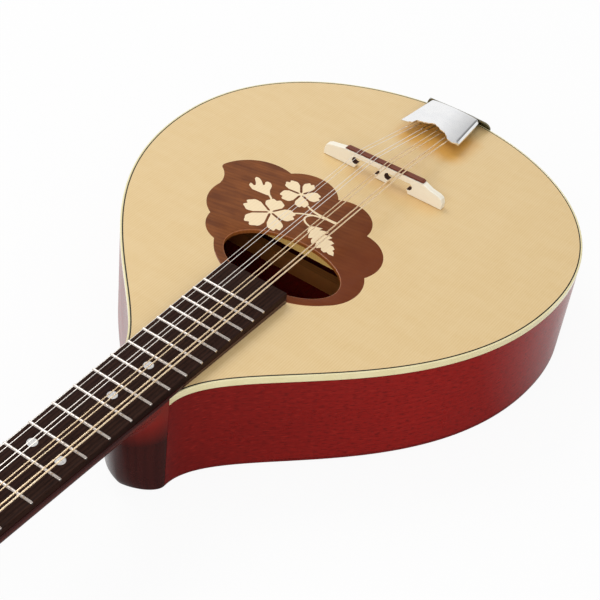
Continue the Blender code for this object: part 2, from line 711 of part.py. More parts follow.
def build_neck(mats):
    start = NUT_Y - NUT_LENGTH
    end = HEEL_Y - GAP
    rows = []
    for i in range(NECK_STEPS + 1):
        share = i / NECK_STEPS
        y = start + (end - start) * share
        rows.append(neck_section(y, NECK_DEPTH_AT_NUT + (NECK_DEPTH_AT_HEEL - NECK_DEPTH_AT_NUT) * share))
    rows += [tongue_section(end), tongue_section(BOARD_END_Y)]
    neck = make_object("neck", loft(rows), mats["neck"])
    combine(neck, make_tool("heel_block", heel_shape()), "UNION")
    frame = headstock_frame()
    paddle = prism(headstock_outline(), -HEAD_THICKNESS, -VENEER_THICKNESS - GAP)
    combine(neck, make_tool("headstock_block", paddle, frame), "UNION")
    slot = prism([(-ROD_WIDTH / 2 - GAP, 0), (ROD_WIDTH / 2 + GAP, 0),
                  (ROD_WIDTH / 2 + GAP, ROD_LENGTH + 2 * GAP), (-ROD_WIDTH / 2 - GAP, ROD_LENGTH + 2 * GAP)],
                 -ROD_DEPTH - 2 * GAP, 0.002)
    tilt = math.atan(PLANE_SLOPE)
    seat = Matrix.Translation((0, NUT_Y + ROD_START, plane_height(NUT_Y + ROD_START)))
    seat = seat @ Matrix.Rotation(tilt, 4, "X")
    combine(neck, make_tool("rod_slot", slot, None, seat), "DIFFERENCE")
    rod = prism([(-ROD_WIDTH / 2, GAP), (ROD_WIDTH / 2, GAP), (ROD_WIDTH / 2, ROD_LENGTH + GAP),
                 (-ROD_WIDTH / 2, ROD_LENGTH + GAP)], -ROD_DEPTH - GAP, -2 * GAP)
    make_object("neck_reinforcing_rod", rod, mats["rod"], None, seat)
    holes = bmesh.new()
    for side in (1, -1):
        for x, y in post_places(side):
            hole = turned([(POST_RADIUS + POST_HOLE_CLEARANCE, -0.03), (POST_RADIUS + POST_HOLE_CLEARANCE, 0.01)],
                          POST_SIDES)
            bmesh.ops.translate(hole, verts=hole.verts, vec=(x, y, 0))
            spare = bpy.data.meshes.new("post_hole")
            hole.to_mesh(spare)
            hole.free()
            holes.from_mesh(spare)
    cutter = make_tool("post_holes", holes, frame)
    combine(neck, cutter, "DIFFERENCE")
    veneer = make_object("headstock_veneer", prism(headstock_outline(VENEER_SETBACK), -VENEER_THICKNESS, 0),
                         mats["board"], frame)
    combine(veneer, cutter, "DIFFERENCE")
    return frame


def heel_shape():
    """The rounded heel, slice by slice from the back of the body up into the neck."""
    top = plane_height(HEEL_Y) - 0.010
    half = board_half_width(HEEL_Y) - HEEL_HALF_DRAFT
    rows = []
    for i in range(HEEL_SLICES + 1):
        share = (i / HEEL_SLICES) ** 1.6
        length = HEEL_CAP_LENGTH + (HEEL_TOP_LENGTH - HEEL_CAP_LENGTH) * share ** HEEL_SPREAD
        ring = []
        for k in range(HEEL_ARC_STEPS + 1):
            turn = math.pi * k / HEEL_ARC_STEPS
            c, s = math.cos(turn), math.sin(turn)
            x = half * math.copysign(abs(c) ** (2 / HEEL_ROUND), c)
            y = -length * abs(s) ** (2 / HEEL_ROUND)
            ring.append((x, HEEL_Y - GAP + y, top * share))
        rows.append(ring)
    return loft(rows)


def build_fingerboard(mats):
    """The board and its frets as one side profile, drawn out to the board's tapered edges."""
    profile = [(BOARD_END_Y, 0), (NUT_Y, 0), (NUT_Y, BOARD_THICKNESS)]
    for number in range(1, FRET_COUNT + 1):
        y = fret_y(number)
        foot, crown = FRET_WIDTH / 2, FRET_CROWN / 2
        profile += [(y - foot, BOARD_THICKNESS), (y - crown, BOARD_THICKNESS + FRET_HEIGHT),
                    (y + crown, BOARD_THICKNESS + FRET_HEIGHT), (y + foot, BOARD_THICKNESS)]
    profile.append((BOARD_END_Y, BOARD_THICKNESS))
    rows = []
    for side in (-1, 1):
        rows.append([(side * board_half_width(y), y, plane_height(y) + z) for y, z in profile])
    make_object("fingerboard", loft(rows), mats["board"])


def nut_string_height(index):
    """Height of a string's centre line over the nut."""
    return plane_height(NUT_Y) + BOARD_THICKNESS + FRET_HEIGHT + NUT_ACTION + STRING_DIAMETERS[index] / 2


def build_nut(mats):
    half = board_half_width(NUT_Y)
    low = plane_height(NUT_Y)
    top = nut_string_height(len(STRING_DIAMETERS) - 1) + NUT_LIP
    profile = [(half, low), (half, top)]
    for i in reversed(range(len(STRING_DIAMETERS))):
        x, radius = nut_x(i), STRING_DIAMETERS[i] / 2 + GAP
        floor = nut_string_height(i) - radius
        profile += [(x + radius, top), (x + radius, floor), (x - radius, floor), (x - radius, top)]
    profile += [(-half, top), (-half, low)]
    rows = [[(x, y, z) for x, z in profile] for y in (NUT_Y - NUT_LENGTH, NUT_Y - GAP)]
    make_object("nut", loft(rows), mats["bone"])


# Headstock and tuners
def headstock_frame():
    """An empty at the back edge of the nut, tilted with the headstock's face."""
    frame = bpy.data.objects.new("headstock_frame", None)
    bpy.context.scene.collection.objects.link(frame)
    y = NUT_Y - NUT_LENGTH
    frame.location = (0, y, plane_height(y))
    frame.rotation_euler = (HEAD_ANGLE, 0, 0)
    return frame


def head_matrix():
    y = NUT_Y - NUT_LENGTH
    return Matrix.Translation((0, y, plane_height(y))) @ Matrix.Rotation(HEAD_ANGLE, 4, "X")


def headstock_outline(start=0.0):
    """The paddle: it widens from the nut in an S, then tapers to a shallow crown."""
    neck_half = board_half_width(NUT_Y)
    right = []
    for i in range(7):
        share = i / 6
        ease = (1 - math.cos(math.pi * share)) / 2
        right.append((neck_half + (HEAD_HALF_WIDTH - neck_half) * ease, -HEAD_SHOULDER * share))
    right[0] = (right[0][0], -start)
    right.append((HEAD_TIP_HALF_WIDTH, -HEAD_LENGTH))
    for i in range(1, 5):
        share = i / 4
        x = HEAD_TIP_HALF_WIDTH * (1 - share)
        right.append((x, -HEAD_LENGTH - HEAD_CROWN * math.sin(share * math.pi / 2)))
    return right + mirrored(right[:-1])[::-1]


def row_frame(side):
    """Matrix of a row of tuners, on the headstock's face: its -Y runs away from the nut."""
    return (Matrix.Translation((side * POST_X, -POST_START, 0))
            @ Matrix.Rotation(-side * ROW_ANGLE, 4, "Z"))


def post_places(side):
    places = []
    for k in range(POST_COUNT):
        place = row_frame(side) @ Vector((0, -k * POST_PITCH, 0))
        places.append((place.x, place.y))
    return places


PLATE_FACE = -HEAD_THICKNESS - GAP - TUNER_PLATE_THICKNESS
WORM_Z = PLATE_FACE - WORM_DROP


def gear_outline():
    """Gear teeth as flat-topped trapezoids round the pitch circle."""
    pitch_radius = GEAR_MODULE * GEAR_TEETH / 2
    tip, root = pitch_radius + GEAR_TIP, pitch_radius - GEAR_ROOT
    step = 2 * math.pi / GEAR_TEETH
    points = []
    for tooth in range(GEAR_TEETH):
        middle = math.pi / 2 + (tooth + 0.5) * step
        for share, radius in ((-0.27, root), (-0.15, tip), (0.15, tip), (0.27, root)):
            points.append(polar((0, 0), radius, middle + share * step))
    return points


def post_mesh(mats):
    """String post with its gear: turned from one bar, the teeth slanted to suit the worm."""
    gear_low, gear_high = WORM_Z - GEAR_THICKNESS / 2, WORM_Z + GEAR_THICKNESS / 2
    hub = POST_RADIUS + 0.0008
    profile = [(POST_RADIUS * 0.75, gear_low - 0.0012), (POST_RADIUS * 0.75, gear_low + 0.0006),
               (hub, gear_low + 0.0006), (hub, PLATE_FACE - GAP), (POST_RADIUS, PLATE_FACE - GAP),
               (POST_RADIUS, POST_TOP - 0.001), (POST_RADIUS - 0.001, POST_TOP)]
    post = make_object("post_blank", turned(profile, POST_SIDES), mats["steel"])
    lead = GEAR_MODULE * math.pi / (2 * math.pi * (WORM_AXIS_OFFSET - GEAR_MODULE * GEAR_TEETH / 2))
    slant = lead * GEAR_THICKNESS / 2 / (GEAR_MODULE * GEAR_TEETH / 2)
    rows = []
    for z, turn in ((gear_low, -slant), (gear_high, slant)):
        spin = Matrix.Rotation(turn, 4, "Z")
        rows.append([spin @ Vector((x, y, z)) for x, y in gear_outline()])
    combine(post, make_tool("gear_blank", loft(rows)), "UNION")
    mesh = baked_mesh(post, "tuner_post")
    bpy.data.objects.remove(post)
    return mesh


def worm_ridge():
    """The worm's single right-handed thread, about +X, drawn as one closed helical bar."""
    lead = GEAR_MODULE * math.pi
    turns = 2 * WORM_HALF_LENGTH / lead - 0.5
    count = int(turns * WORM_STEPS)
    rows = []
    for i in range(count + 1):
        turn = 2 * math.pi * (i - count / 2) / WORM_STEPS + math.pi
        x = lead * (turn - math.pi) / (2 * math.pi)
        inner, outer = WORM_CORE_RADIUS - 0.0004, WORM_TIP_RADIUS
        c, s = math.cos(turn), math.sin(turn)
        rows.append([(x - RIDGE_HALF_ROOT, inner * c, inner * s), (x - RIDGE_HALF_TIP, outer * c, outer * s),
                     (x + RIDGE_HALF_TIP, outer * c, outer * s), (x + RIDGE_HALF_ROOT, inner * c, inner * s)])
    return loft(rows)


def button_mesh(side, mats):
    """Worm shaft and button as one piece; side says which way the button points."""
    inner_end = -side * (EAR_X + EAR_THICKNESS + 0.0010)
    core = WORM_HALF_LENGTH
    start = side * BUTTON_START
    profile = [(SHAFT_RADIUS, inner_end), (SHAFT_RADIUS, -side * core), (WORM_CORE_RADIUS, -side * core),
               (WORM_CORE_RADIUS, side * core), (SHAFT_RADIUS, side * core),
               (SHAFT_RADIUS, start - side * 0.002), (SHAFT_RADIUS + 0.0012, start - side * 0.002),
               (SHAFT_RADIUS + 0.0012, start + side * 0.002)]
    shaft = make_object("shaft_blank", turned(profile, 10, "X"), mats["steel"])
    combine(shaft, make_tool("ridge_blank_%s" % ("bass" if side > 0 else "treble"), worm_ridge()), "UNION")
    rows = []
    for i, swell in enumerate(BUTTON_SWELL):
        x = start + side * BUTTON_LENGTH * i / (len(BUTTON_SWELL) - 1)
        rows.append([(x, BUTTON_HALF_WIDTH * swell * math.cos(2 * math.pi * k / 12),
                      BUTTON_HALF_THICKNESS * (0.5 + 0.5 * swell) * math.sin(2 * math.pi * k / 12))
                     for k in range(12)])
    combine(shaft, make_tool("knob_blank_%s" % ("bass" if side > 0 else "treble"), loft(rows)), "UNION")
    mesh = baked_mesh(shaft, "tuner_button_" + ("bass" if side > 0 else "treble"))
    bpy.data.objects.remove(shaft)
    return mesh


def build_tuner_plate(side, mats, frame):
    """The strip on the back of the headstock, with a pair of ears for each worm shaft."""
    name = "tuner_plate_" + ("bass" if side > 0 else "treble")
    place = row_frame(side)
    near, far = WORM_AXIS_OFFSET + EAR_HALF_WIDTH + 0.003, -(POST_COUNT - 1) * POST_PITCH - 0.009
    half = TUNER_PLATE_HALF_WIDTH
    outline = [(half, near), (-half, near), (-half, far), (half, far)]
    plate = make_object(name, prism(outline, PLATE_FACE, PLATE_FACE + TUNER_PLATE_THICKNESS),
                        mats["steel"], frame, place)
    ears, bores, holes = bmesh.new(), bmesh.new(), bmesh.new()
    for k in range(POST_COUNT):
        y = -k * POST_PITCH
        worm_y = y + WORM_AXIS_OFFSET
        for x in (-EAR_X - EAR_THICKNESS, EAR_X):
            outline = [(worm_y - EAR_HALF_WIDTH, PLATE_FACE + 0.0005), (worm_y - EAR_HALF_WIDTH, WORM_Z - 0.0018),
                       (worm_y - EAR_HALF_WIDTH * 0.5, WORM_Z - 0.0032),
                       (worm_y + EAR_HALF_WIDTH * 0.5, WORM_Z - 0.0032),
                       (worm_y + EAR_HALF_WIDTH, WORM_Z - 0.0018), (worm_y + EAR_HALF_WIDTH, PLATE_FACE + 0.0005)]
            loft([[(px, a, b) for a, b in outline] for px in (x, x + EAR_THICKNESS)], ears)
        bore = [(SHAFT_RADIUS + SHAFT_CLEARANCE, -0.012), (SHAFT_RADIUS + SHAFT_CLEARANCE, 0.012)]
        add_moved(bores, turned(bore, 8, "X"), (0, worm_y, WORM_Z))
        hole = [(POST_RADIUS + POST_HOLE_CLEARANCE, -0.030), (POST_RADIUS + POST_HOLE_CLEARANCE, 0)]
        add_moved(holes, turned(hole, POST_SIDES), (0, y, 0))
    combine(plate, make_tool(name + "_ears", ears, frame, place), "UNION")
    combine(plate, make_tool(name + "_bores", bores, frame, place), "DIFFERENCE")
    combine(plate, make_tool(name + "_holes", holes, frame, place), "DIFFERENCE")


def add_moved(bm, piece, offset):
    """Add a copy of one bmesh to another, moved by an offset."""
    bmesh.ops.translate(piece, verts=piece.verts, vec=offset)
    spare = bpy.data.meshes.new("moved")
    piece.to_mesh(spare)
    piece.free()
    bm.from_mesh(spare)
    bpy.data.meshes.remove(spare)


def build_tuners(mats, frame):
    post = post_mesh(mats)
    number = 0
    for side in (1, -1):
        build_tuner_plate(side, mats, frame)
        button = button_mesh(side, mats)
        for k in range(POST_COUNT):
            number += 1
            here = row_frame(side) @ Matrix.Translation((0, -k * POST_PITCH, 0))
            add_mesh("tuner_post_%d" % number, post, None, frame, here)
            worm = here @ Matrix.Translation((0, WORM_AXIS_OFFSET, WORM_Z))
            add_mesh("tuner_button_%d" % number, button, None, frame, worm)


# Bridge
def bridge_top(x):
    """Height of the bridge under the saddle strip: the bass side stands higher."""
    share = (x - (BRIDGE_X - SADDLE_HALF_LENGTH)) / (2 * SADDLE_HALF_LENGTH)
    return BODY_DEPTH + GAP + BRIDGE_TREBLE_HEIGHT + (BRIDGE_BASS_HEIGHT - BRIDGE_TREBLE_HEIGHT) * share


def build_bridge(mats):
    floor = BODY_DEPTH + GAP
    left, right = BRIDGE_X - BRIDGE_HALF_LENGTH, BRIDGE_X + BRIDGE_HALF_LENGTH
    profile = [(left, floor)]
    for start, end in ARCHES:
        high = floor + ARCH_BITE_HEIGHT
        profile.append((start, floor))
        for k in range(7):
            turn = math.radians(-60 - 200 * k / 6)
            profile.append(polar((start, high), ARCH_BITE_RADIUS, turn))
        profile.append((start + ARCH_BITE_RADIUS, floor + ARCH_HEIGHT))
        profile.append((end - ARCH_BITE_RADIUS, floor + ARCH_HEIGHT))
        for k in range(7):
            turn = math.radians(80 - 200 * k / 6)
            profile.append(polar((end, high), ARCH_BITE_RADIUS, turn))
        profile.append((end, floor))
    profile.append((right, floor))
    for side, tip in ((1, right), (-1, left)):
        crest = BRIDGE_X + side * SADDLE_HALF_LENGTH
        end = [(tip, floor + 0.0045), (tip - side * 0.0012, floor + BRIDGE_END_HEIGHT - 0.0015),
               (tip - side * 0.0040, floor + BRIDGE_END_HEIGHT),
               (crest + side * 0.0060, floor + BRIDGE_END_HEIGHT + 0.0012), (crest, bridge_top(crest))]
        profile += end if side > 0 else end[::-1]
    rows = [[(x, BRIDGE_Y + side * BRIDGE_THICKNESS / 2, z) for x, z in profile] for side in (-1, 1)]
    make_object("bridge", loft(rows), mats["maple"])
    saddle = []
    for x, lift in ((-1.0, 0), (1.0, 0), (0.95, SADDLE_HEIGHT), (-0.95, SADDLE_HEIGHT)):
        place = BRIDGE_X + x * SADDLE_HALF_LENGTH
        saddle.append((place, bridge_top(place) + GAP + lift))
    rows = [[(x, BRIDGE_Y + side * SADDLE_THICKNESS / 2, z) for x, z in saddle] for side in (-1, 1)]
    make_object("saddle_strip", loft(rows), mats["saddle"])


def saddle_string_height(index):
    x = saddle_x(index)
    return bridge_top(x) + 2 * GAP + SADDLE_HEIGHT + STRING_DIAMETERS[index] / 2


# Strings
def nut_x(index):
    return NUT_PAIRS[index // 2] + (index % 2 - 0.5) * NUT_PAIR_GAP


def saddle_x(index):
    return SADDLE_PAIRS[index // 2] + (index % 2 - 0.5) * SADDLE_PAIR_GAP


def hook_x(index):
    return TAILPIECE_X + (index - 3.5) * (2 * BASE_TRAY_HALF_WIDTH - 0.008) / 7


def hook_string_height(index):
    return tray_top() + HOOK_HEIGHT / 2 + STRING_DIAMETERS[index] / 2


def string_post(index):
    """Side and place of the post that a string winds on: the outer strings stop first."""
    side = 1 if index >= POST_COUNT else -1
    order = 2 * POST_COUNT - 1 - index if side > 0 else index
    return side, order


def string_route(index):
    """The string's centre line: hook, saddle, nut, and the winding on its post."""
    radius = STRING_DIAMETERS[index] / 2
    route = [Vector((hook_x(index), HOOK_Y - HOOK_SIZE / 2 - GAP - radius, hook_string_height(index))),
             Vector((saddle_x(index), BRIDGE_Y + SADDLE_THICKNESS / 2, saddle_string_height(index))),
             Vector((nut_x(index), NUT_Y, nut_string_height(index))),
             Vector((nut_x(index), NUT_Y - NUT_LENGTH, nut_string_height(index)))]
    frame = head_matrix()
    side, order = string_post(index)
    centre = Vector(post_places(side)[order])
    nut_end = frame.inverted() @ route[-1]
    start = Vector((nut_end.x, nut_end.y))
    coil = POST_RADIUS + GAP + radius
    toward = centre - start
    bend = math.asin(coil / toward.length)
    heading = math.atan2(toward.y, toward.x) - side * bend
    reach = math.sqrt(toward.length ** 2 - coil ** 2)
    touch = start + Vector((math.cos(heading), math.sin(heading))) * reach
    first = math.atan2(touch.y - centre.y, touch.x - centre.x)
    pitch = 2 * radius + WINDING_SPACE
    winding = []
    count = int(WINDING_TURNS * WINDING_STEPS)
    for i in range(count + 1):
        turns = i / WINDING_STEPS
        angle = first + side * 2 * math.pi * turns
        x, y = polar(centre, coil / math.cos(math.pi / WINDING_STEPS), angle)
        winding.append(frame @ Vector((x, y, WINDING_TOP - pitch * turns)))
    return route, winding


def least_gap(points, radius):
    """The least clear distance between two turns of a winding."""
    least = 1.0
    for i, a in enumerate(points):
        for b in points[i + WINDING_STEPS // 2:]:
            least = min(least, (a - b).length - 2 * radius)
    return least


def build_strings(mats):
    for index, diameter in enumerate(STRING_DIAMETERS):
        route, winding = string_route(index)
        points = route + winding
        curve = bpy.data.curves.new("string_%d" % (index + 1), "CURVE")
        curve.dimensions = "3D"
        curve.bevel_depth = diameter / 2
        curve.bevel_resolution = 1
        curve.use_fill_caps = True
        spline = curve.splines.new("POLY")
        spline.points.add(len(points) - 1)
        for target, point in zip(spline.points, points):
            target.co = (*point, 1)
        curve.materials.append(mats["bronze"] if index >= POST_COUNT else mats["plain"])
        thing = bpy.data.objects.new("string_%d" % (index + 1), curve)
        bpy.context.scene.collection.objects.link(thing)
        gap = least_gap(winding, diameter / 2)
        print("string %d winding: least gap %.2f mm" % (index + 1, gap * 1000))


# Tailpiece
def tray_top():
    return BODY_DEPTH + BASE_LIFT + TAILPIECE_THICKNESS


def cover_height(y):
    share = (y - COVER_FRONT_Y) / (COVER_BACK_Y - COVER_FRONT_Y)
    return BODY_DEPTH + COVER_FRONT_HEIGHT + (COVER_BACK_HEIGHT - COVER_FRONT_HEIGHT) * share


def cover_half_width(y):
    share = (y - COVER_FRONT_Y) / (COVER_BACK_Y - COVER_FRONT_Y)
    return COVER_FRONT_HALF_WIDTH + (COVER_BACK_HALF_WIDTH - COVER_FRONT_HALF_WIDTH) * share


def build_tailpiece(mats):
    build_tailpiece_base(mats)
    build_tailpiece_cover(mats)
    build_end_pin(mats)


def build_tailpiece_base(mats):
    """Sheet steel: a tray with lips and string hooks, and a flap that widens as it bends from
    behind the cover over the tail's edge."""
    thick = TAILPIECE_THICKNESS
    low, top = BODY_DEPTH - BASE_DROP, tray_top()
    front = COVER_BACK_Y + 2 * GAP
    rows = []
    for i in range(9):
        share = i / 4 - 1
        x = TAILPIECE_X + BASE_HALF_WIDTH * share
        back = tail_edge_y(x, 0) + GAP
        reach = back + thick - front
        inner, outer = [(x, back, low)], [(x, back + thick, low)]
        for k in range(BASE_ARCH_STEPS + 1):
            turn = math.radians(90) * k / BASE_ARCH_STEPS
            c = abs(math.cos(turn)) ** BASE_ARCH_FLATNESS
            s = math.sin(turn) ** BASE_ARCH_FLATNESS
            half = BASE_TOP_HALF_WIDTH + (BASE_HALF_WIDTH - BASE_TOP_HALF_WIDTH) * c
            x = TAILPIECE_X + half * share
            inner.append((x, front + (reach - thick) * c, BODY_DEPTH + (BASE_ARCH_HEIGHT - thick) * s))
            outer.append((x, front + reach * c, BODY_DEPTH + BASE_ARCH_HEIGHT * s))
        rows.append(inner + outer[::-1])
    base = make_object("tailpiece_base", loft(rows), mats["steel"])
    half = BASE_TRAY_HALF_WIDTH
    outline = [(TAILPIECE_X + half, BASE_TRAY_FRONT), (TAILPIECE_X - half, BASE_TRAY_FRONT)]
    for i in range(7):
        x = TAILPIECE_X + half * (i / 3 - 1)
        outline.append((x, tail_edge_y(x, 0) + GAP + thick / 2))
    combine(base, make_tool("tailpiece_tray", prism(outline, top - thick, top)), "UNION")
    lips = bmesh.new()
    for side in (-1, 1):
        edge = TAILPIECE_X + side * half
        rows = []
        high = cover_height(COVER_FRONT_Y) - COVER_THICKNESS - 2 * GAP
        for y in (BASE_TRAY_FRONT, COVER_BACK_Y - thick):
            rows.append([(edge, y, top - thick * 0.9), (edge, y, high),
                         (edge - side * thick, y, high), (edge - side * thick, y, top - thick * 0.9)])
        loft(rows, lips)
    combine(base, make_tool("tailpiece_lips", lips), "UNION")
    hooks = bmesh.new()
    for index in range(len(STRING_DIAMETERS)):
        x = hook_x(index)
        size = HOOK_SIZE / 2
        prism([(x - size, HOOK_Y - size), (x + size, HOOK_Y - size), (x + size, HOOK_Y + size),
               (x - size, HOOK_Y + size)], top - thick / 2, top + HOOK_HEIGHT, hooks)
    combine(base, make_tool("tailpiece_hooks", hooks), "UNION")
    combine(base, pin_hole_tool("tailpiece_base"), "DIFFERENCE")


# Front edge of the cover, as shares of its half width and set back from its front line
COVER_SCALLOP = ((-1.0, 0.0014), (-0.90, 0.0), (-0.80, 0.0003), (-0.62, 0.0024), (-0.56, 0.0066), (-0.40, 0.0073),
                 (-0.24, 0.0086), (-0.06, 0.0110), (0.08, 0.0098), (0.25, 0.0075), (0.38, 0.0070), (0.50, 0.0048),
                 (0.64, 0.0013), (0.82, 0.0006), (0.92, 0.0016), (1.0, 0.0036))


def build_tailpiece_cover(mats):
    """The slip-on cover: a sloping lid with turned-down sides and a scalloped front."""
    rows = []
    for share, setback in COVER_SCALLOP:
        front = COVER_FRONT_Y + setback
        x_front = TAILPIECE_X + share * cover_half_width(front)
        x_back = TAILPIECE_X + share * cover_half_width(COVER_BACK_Y)
        crown = COVER_CROWN * (1 - share ** 2)
        high_front, high_back = cover_height(front) + crown, cover_height(COVER_BACK_Y) + crown
        rows.append([(x_front, front, high_front), (x_back, COVER_BACK_Y, high_back),
                     (x_back, COVER_BACK_Y, high_back - COVER_THICKNESS),
                     (x_front, front, high_front - COVER_THICKNESS)])
    cover = make_object("tailpiece_cover", loft(rows), mats["steel"])
    flanges = bmesh.new()
    for side in (-1, 1):
        sections = []
        setback = COVER_SCALLOP[0 if side < 0 else -1][1]
        for y in (COVER_FRONT_Y + setback + 0.0002, COVER_BACK_Y):
            edge = TAILPIECE_X + side * cover_half_width(y)
            high = cover_height(y) - COVER_THICKNESS / 2
            inner = edge - side * COVER_THICKNESS
            drop = COVER_FLANGE if y == COVER_BACK_Y else COVER_FLANGE * 0.75
            sections.append([(edge, y, high), (edge, y, high - drop), (inner, y, high - drop), (inner, y, high)])
        loft(sections, flanges)
    combine(cover, make_tool("cover_flanges", flanges), "UNION")


def build_end_pin(mats):
    """The turned pin in the tail that holds the tailpiece and takes a strap."""
    face = TAIL_Y + 2 * GAP + TAILPIECE_THICKNESS
    profile = [(PIN_RADIUS, face - PIN_LENGTH), (PIN_RADIUS, face), (PIN_HEAD_RADIUS * 0.85, face),
               (PIN_HEAD_RADIUS * 0.62, face + PIN_HEAD_LENGTH * 0.35),
               (PIN_HEAD_RADIUS, face + PIN_HEAD_LENGTH * 0.75), (PIN_HEAD_RADIUS * 0.7, face + PIN_HEAD_LENGTH)]
    make_object("end_pin", turned(profile, 16, "Y"), mats["board"], None,
                Matrix.Translation((0, 0, BODY_DEPTH - PIN_DEPTH)))


def main():
    clear_scene()
    mats = make_materials()
    build_shell(mats)
    build_frame(mats)
    build_top(mats)
    frame = build_neck(mats)
    build_fingerboard(mats)
    build_nut(mats)
    build_tuners(mats, frame)
    build_bridge(mats)
    build_strings(mats)
    build_tailpiece(mats)


main()
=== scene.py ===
# %% [markdown]
# # Dressing an Irish bouzouki
#
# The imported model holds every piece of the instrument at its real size: body, neck, strings,
# tailpiece and eight geared tuners. This lesson loads it as a fixed frame and then remakes the
# pieces that the eye rests on, with smooth curves, eased edges, and wood, lacquer and metal.
# Units are metres. +Y runs from the nut to the tail, and +X is the side of the bass strings.

# %% Load the frame
from math import asin, atan2, copysign, cos, exp, hypot, pi, radians, sin, sqrt

import bmesh
import bpy
from mathutils import Matrix, Vector
from mathutils.geometry import interpolate_bezier
from mathutils.kdtree import KDTree


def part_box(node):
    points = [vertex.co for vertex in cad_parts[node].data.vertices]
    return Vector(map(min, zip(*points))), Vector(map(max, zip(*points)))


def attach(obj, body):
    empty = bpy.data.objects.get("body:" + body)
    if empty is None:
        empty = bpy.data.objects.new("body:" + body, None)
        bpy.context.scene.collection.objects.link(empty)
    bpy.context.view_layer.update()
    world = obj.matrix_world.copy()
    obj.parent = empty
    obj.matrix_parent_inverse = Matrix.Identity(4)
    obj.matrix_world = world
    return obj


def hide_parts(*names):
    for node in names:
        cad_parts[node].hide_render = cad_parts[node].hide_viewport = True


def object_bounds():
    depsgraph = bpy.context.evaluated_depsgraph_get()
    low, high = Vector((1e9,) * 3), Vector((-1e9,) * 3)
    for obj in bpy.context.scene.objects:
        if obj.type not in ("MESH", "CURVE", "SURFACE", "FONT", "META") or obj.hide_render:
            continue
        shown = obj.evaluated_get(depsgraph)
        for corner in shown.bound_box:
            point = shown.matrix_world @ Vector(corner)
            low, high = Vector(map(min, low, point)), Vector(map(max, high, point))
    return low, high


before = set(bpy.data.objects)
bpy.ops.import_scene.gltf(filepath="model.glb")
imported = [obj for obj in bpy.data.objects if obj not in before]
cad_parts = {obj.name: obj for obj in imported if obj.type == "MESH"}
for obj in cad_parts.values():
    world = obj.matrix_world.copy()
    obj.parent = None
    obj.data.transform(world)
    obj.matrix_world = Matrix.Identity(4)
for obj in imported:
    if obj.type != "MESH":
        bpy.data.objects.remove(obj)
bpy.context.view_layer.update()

# %% [markdown]
# ## Working tools
#
# Most pieces here are drawn in one of three ways. A flat outline is raised to a thickness, as a
# plate is sawn from a board. A ring is carried from section to section, as a neck is carved. A
# profile is spun about an axis, as a post is turned on a lathe. One short helper for each keeps
# the later cells about the object, and each uses Blender's own bmesh operators.

# %% Finish a mesh as a piece
SHARP_ANGLE = radians(38)
MERGE = 1e-6


def shown(thing):
    """Put an object in the scene and give it back."""
    bpy.context.scene.collection.objects.link(thing)
    return thing


def finish_piece(name, bm, material, body="body", replaces=()):
    """Turn a bmesh into a named piece that rides on a body, with its place in its mesh."""
    bmesh.ops.remove_doubles(bm, verts=bm.verts, dist=MERGE)
    bmesh.ops.recalc_face_normals(bm, faces=bm.faces)
    mesh = bpy.data.meshes.new(name)
    bm.to_mesh(mesh)
    bm.free()
    mesh.shade_smooth()
    mesh.set_sharp_from_angle(angle=SHARP_ANGLE)
    mesh.materials.append(material)
    piece = shown(bpy.data.objects.new(name, mesh))
    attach(piece, body)
    if replaces:
        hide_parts(*replaces)
    return piece


# %% Raise, carry and spin
def lift(bm, grown, height):
    """Move the vertices that an extrusion has just made."""
    made = [v for v in grown if isinstance(v, bmesh.types.BMVert)]
    bmesh.ops.translate(bm, verts=made, vec=(0, 0, height))


def thicken(bm, height):
    """Extrude every face of a flat sheet upward, or downward where the height is negative."""
    lift(bm, bmesh.ops.extrude_face_region(bm, geom=list(bm.faces))["geom"], height)
    return bm


def flat_sheet(outline, height):
    """A flat outline drawn as one face."""
    bm = bmesh.new()
    bm.faces.new([bm.verts.new((x, y, height)) for x, y in outline])
    return bm


def raised(outline, low, high):
    """A plate: a flat outline drawn at one height and extruded to another."""
    return thicken(flat_sheet(outline, low), high - low)


def oblong(middle, half, near, far):
    """The corners of a rectangle round a middle line along Y."""
    return [(middle - half, near), (middle + half, near), (middle + half, far), (middle - half, far)]


def carried(sections):
    """A solid carried through sections: the end face is extruded and reshaped each time."""
    bm = bmesh.new()
    face = bm.faces.new([bm.verts.new(point) for point in sections[0]])
    for before, after in zip(sections, sections[1:]):
        place = {tuple(Vector(old)): new for old, new in zip(before, after)}
        grown = bmesh.ops.extrude_face_region(bm, geom=[face])["geom"]
        if before is not sections[0]:
            bmesh.ops.delete(bm, geom=[face], context="FACES_ONLY")
        face = next(part for part in grown if isinstance(part, bmesh.types.BMFace))
        for vert in face.verts:
            vert.co = place[tuple(vert.co)]
    return bm


def turned(profile, steps=32, axis=(0, 0, 1)):
    """A turned solid: (radius, height) points spun about an axis through the origin."""
    bm = bmesh.new()
    chain = [bm.verts.new((radius, 0, height)) for radius, height in profile]
    lines = [bm.edges.new(pair) for pair in zip(chain, chain[1:])]
    bmesh.ops.spin(bm, geom=chain + lines, cent=(0, 0, 0), axis=(0, 0, 1), angle=2 * pi,
                   steps=steps, use_merge=True)
    bmesh.ops.remove_doubles(bm, verts=bm.verts, dist=MERGE)
    rims = [e for e in bm.edges if e.is_boundary]
    if rims:
        bmesh.ops.holes_fill(bm, edges=rims)
    turn = Vector((0, 0, 1)).rotation_difference(Vector(axis)).to_matrix()
    bmesh.ops.rotate(bm, verts=bm.verts, cent=(0, 0, 0), matrix=turn)
    return bm


# %% Join, cut and soften
def moved(bm, matrix):
    """The same bmesh with its vertices moved by a matrix."""
    bmesh.ops.transform(bm, matrix=matrix, verts=bm.verts)
    return bm


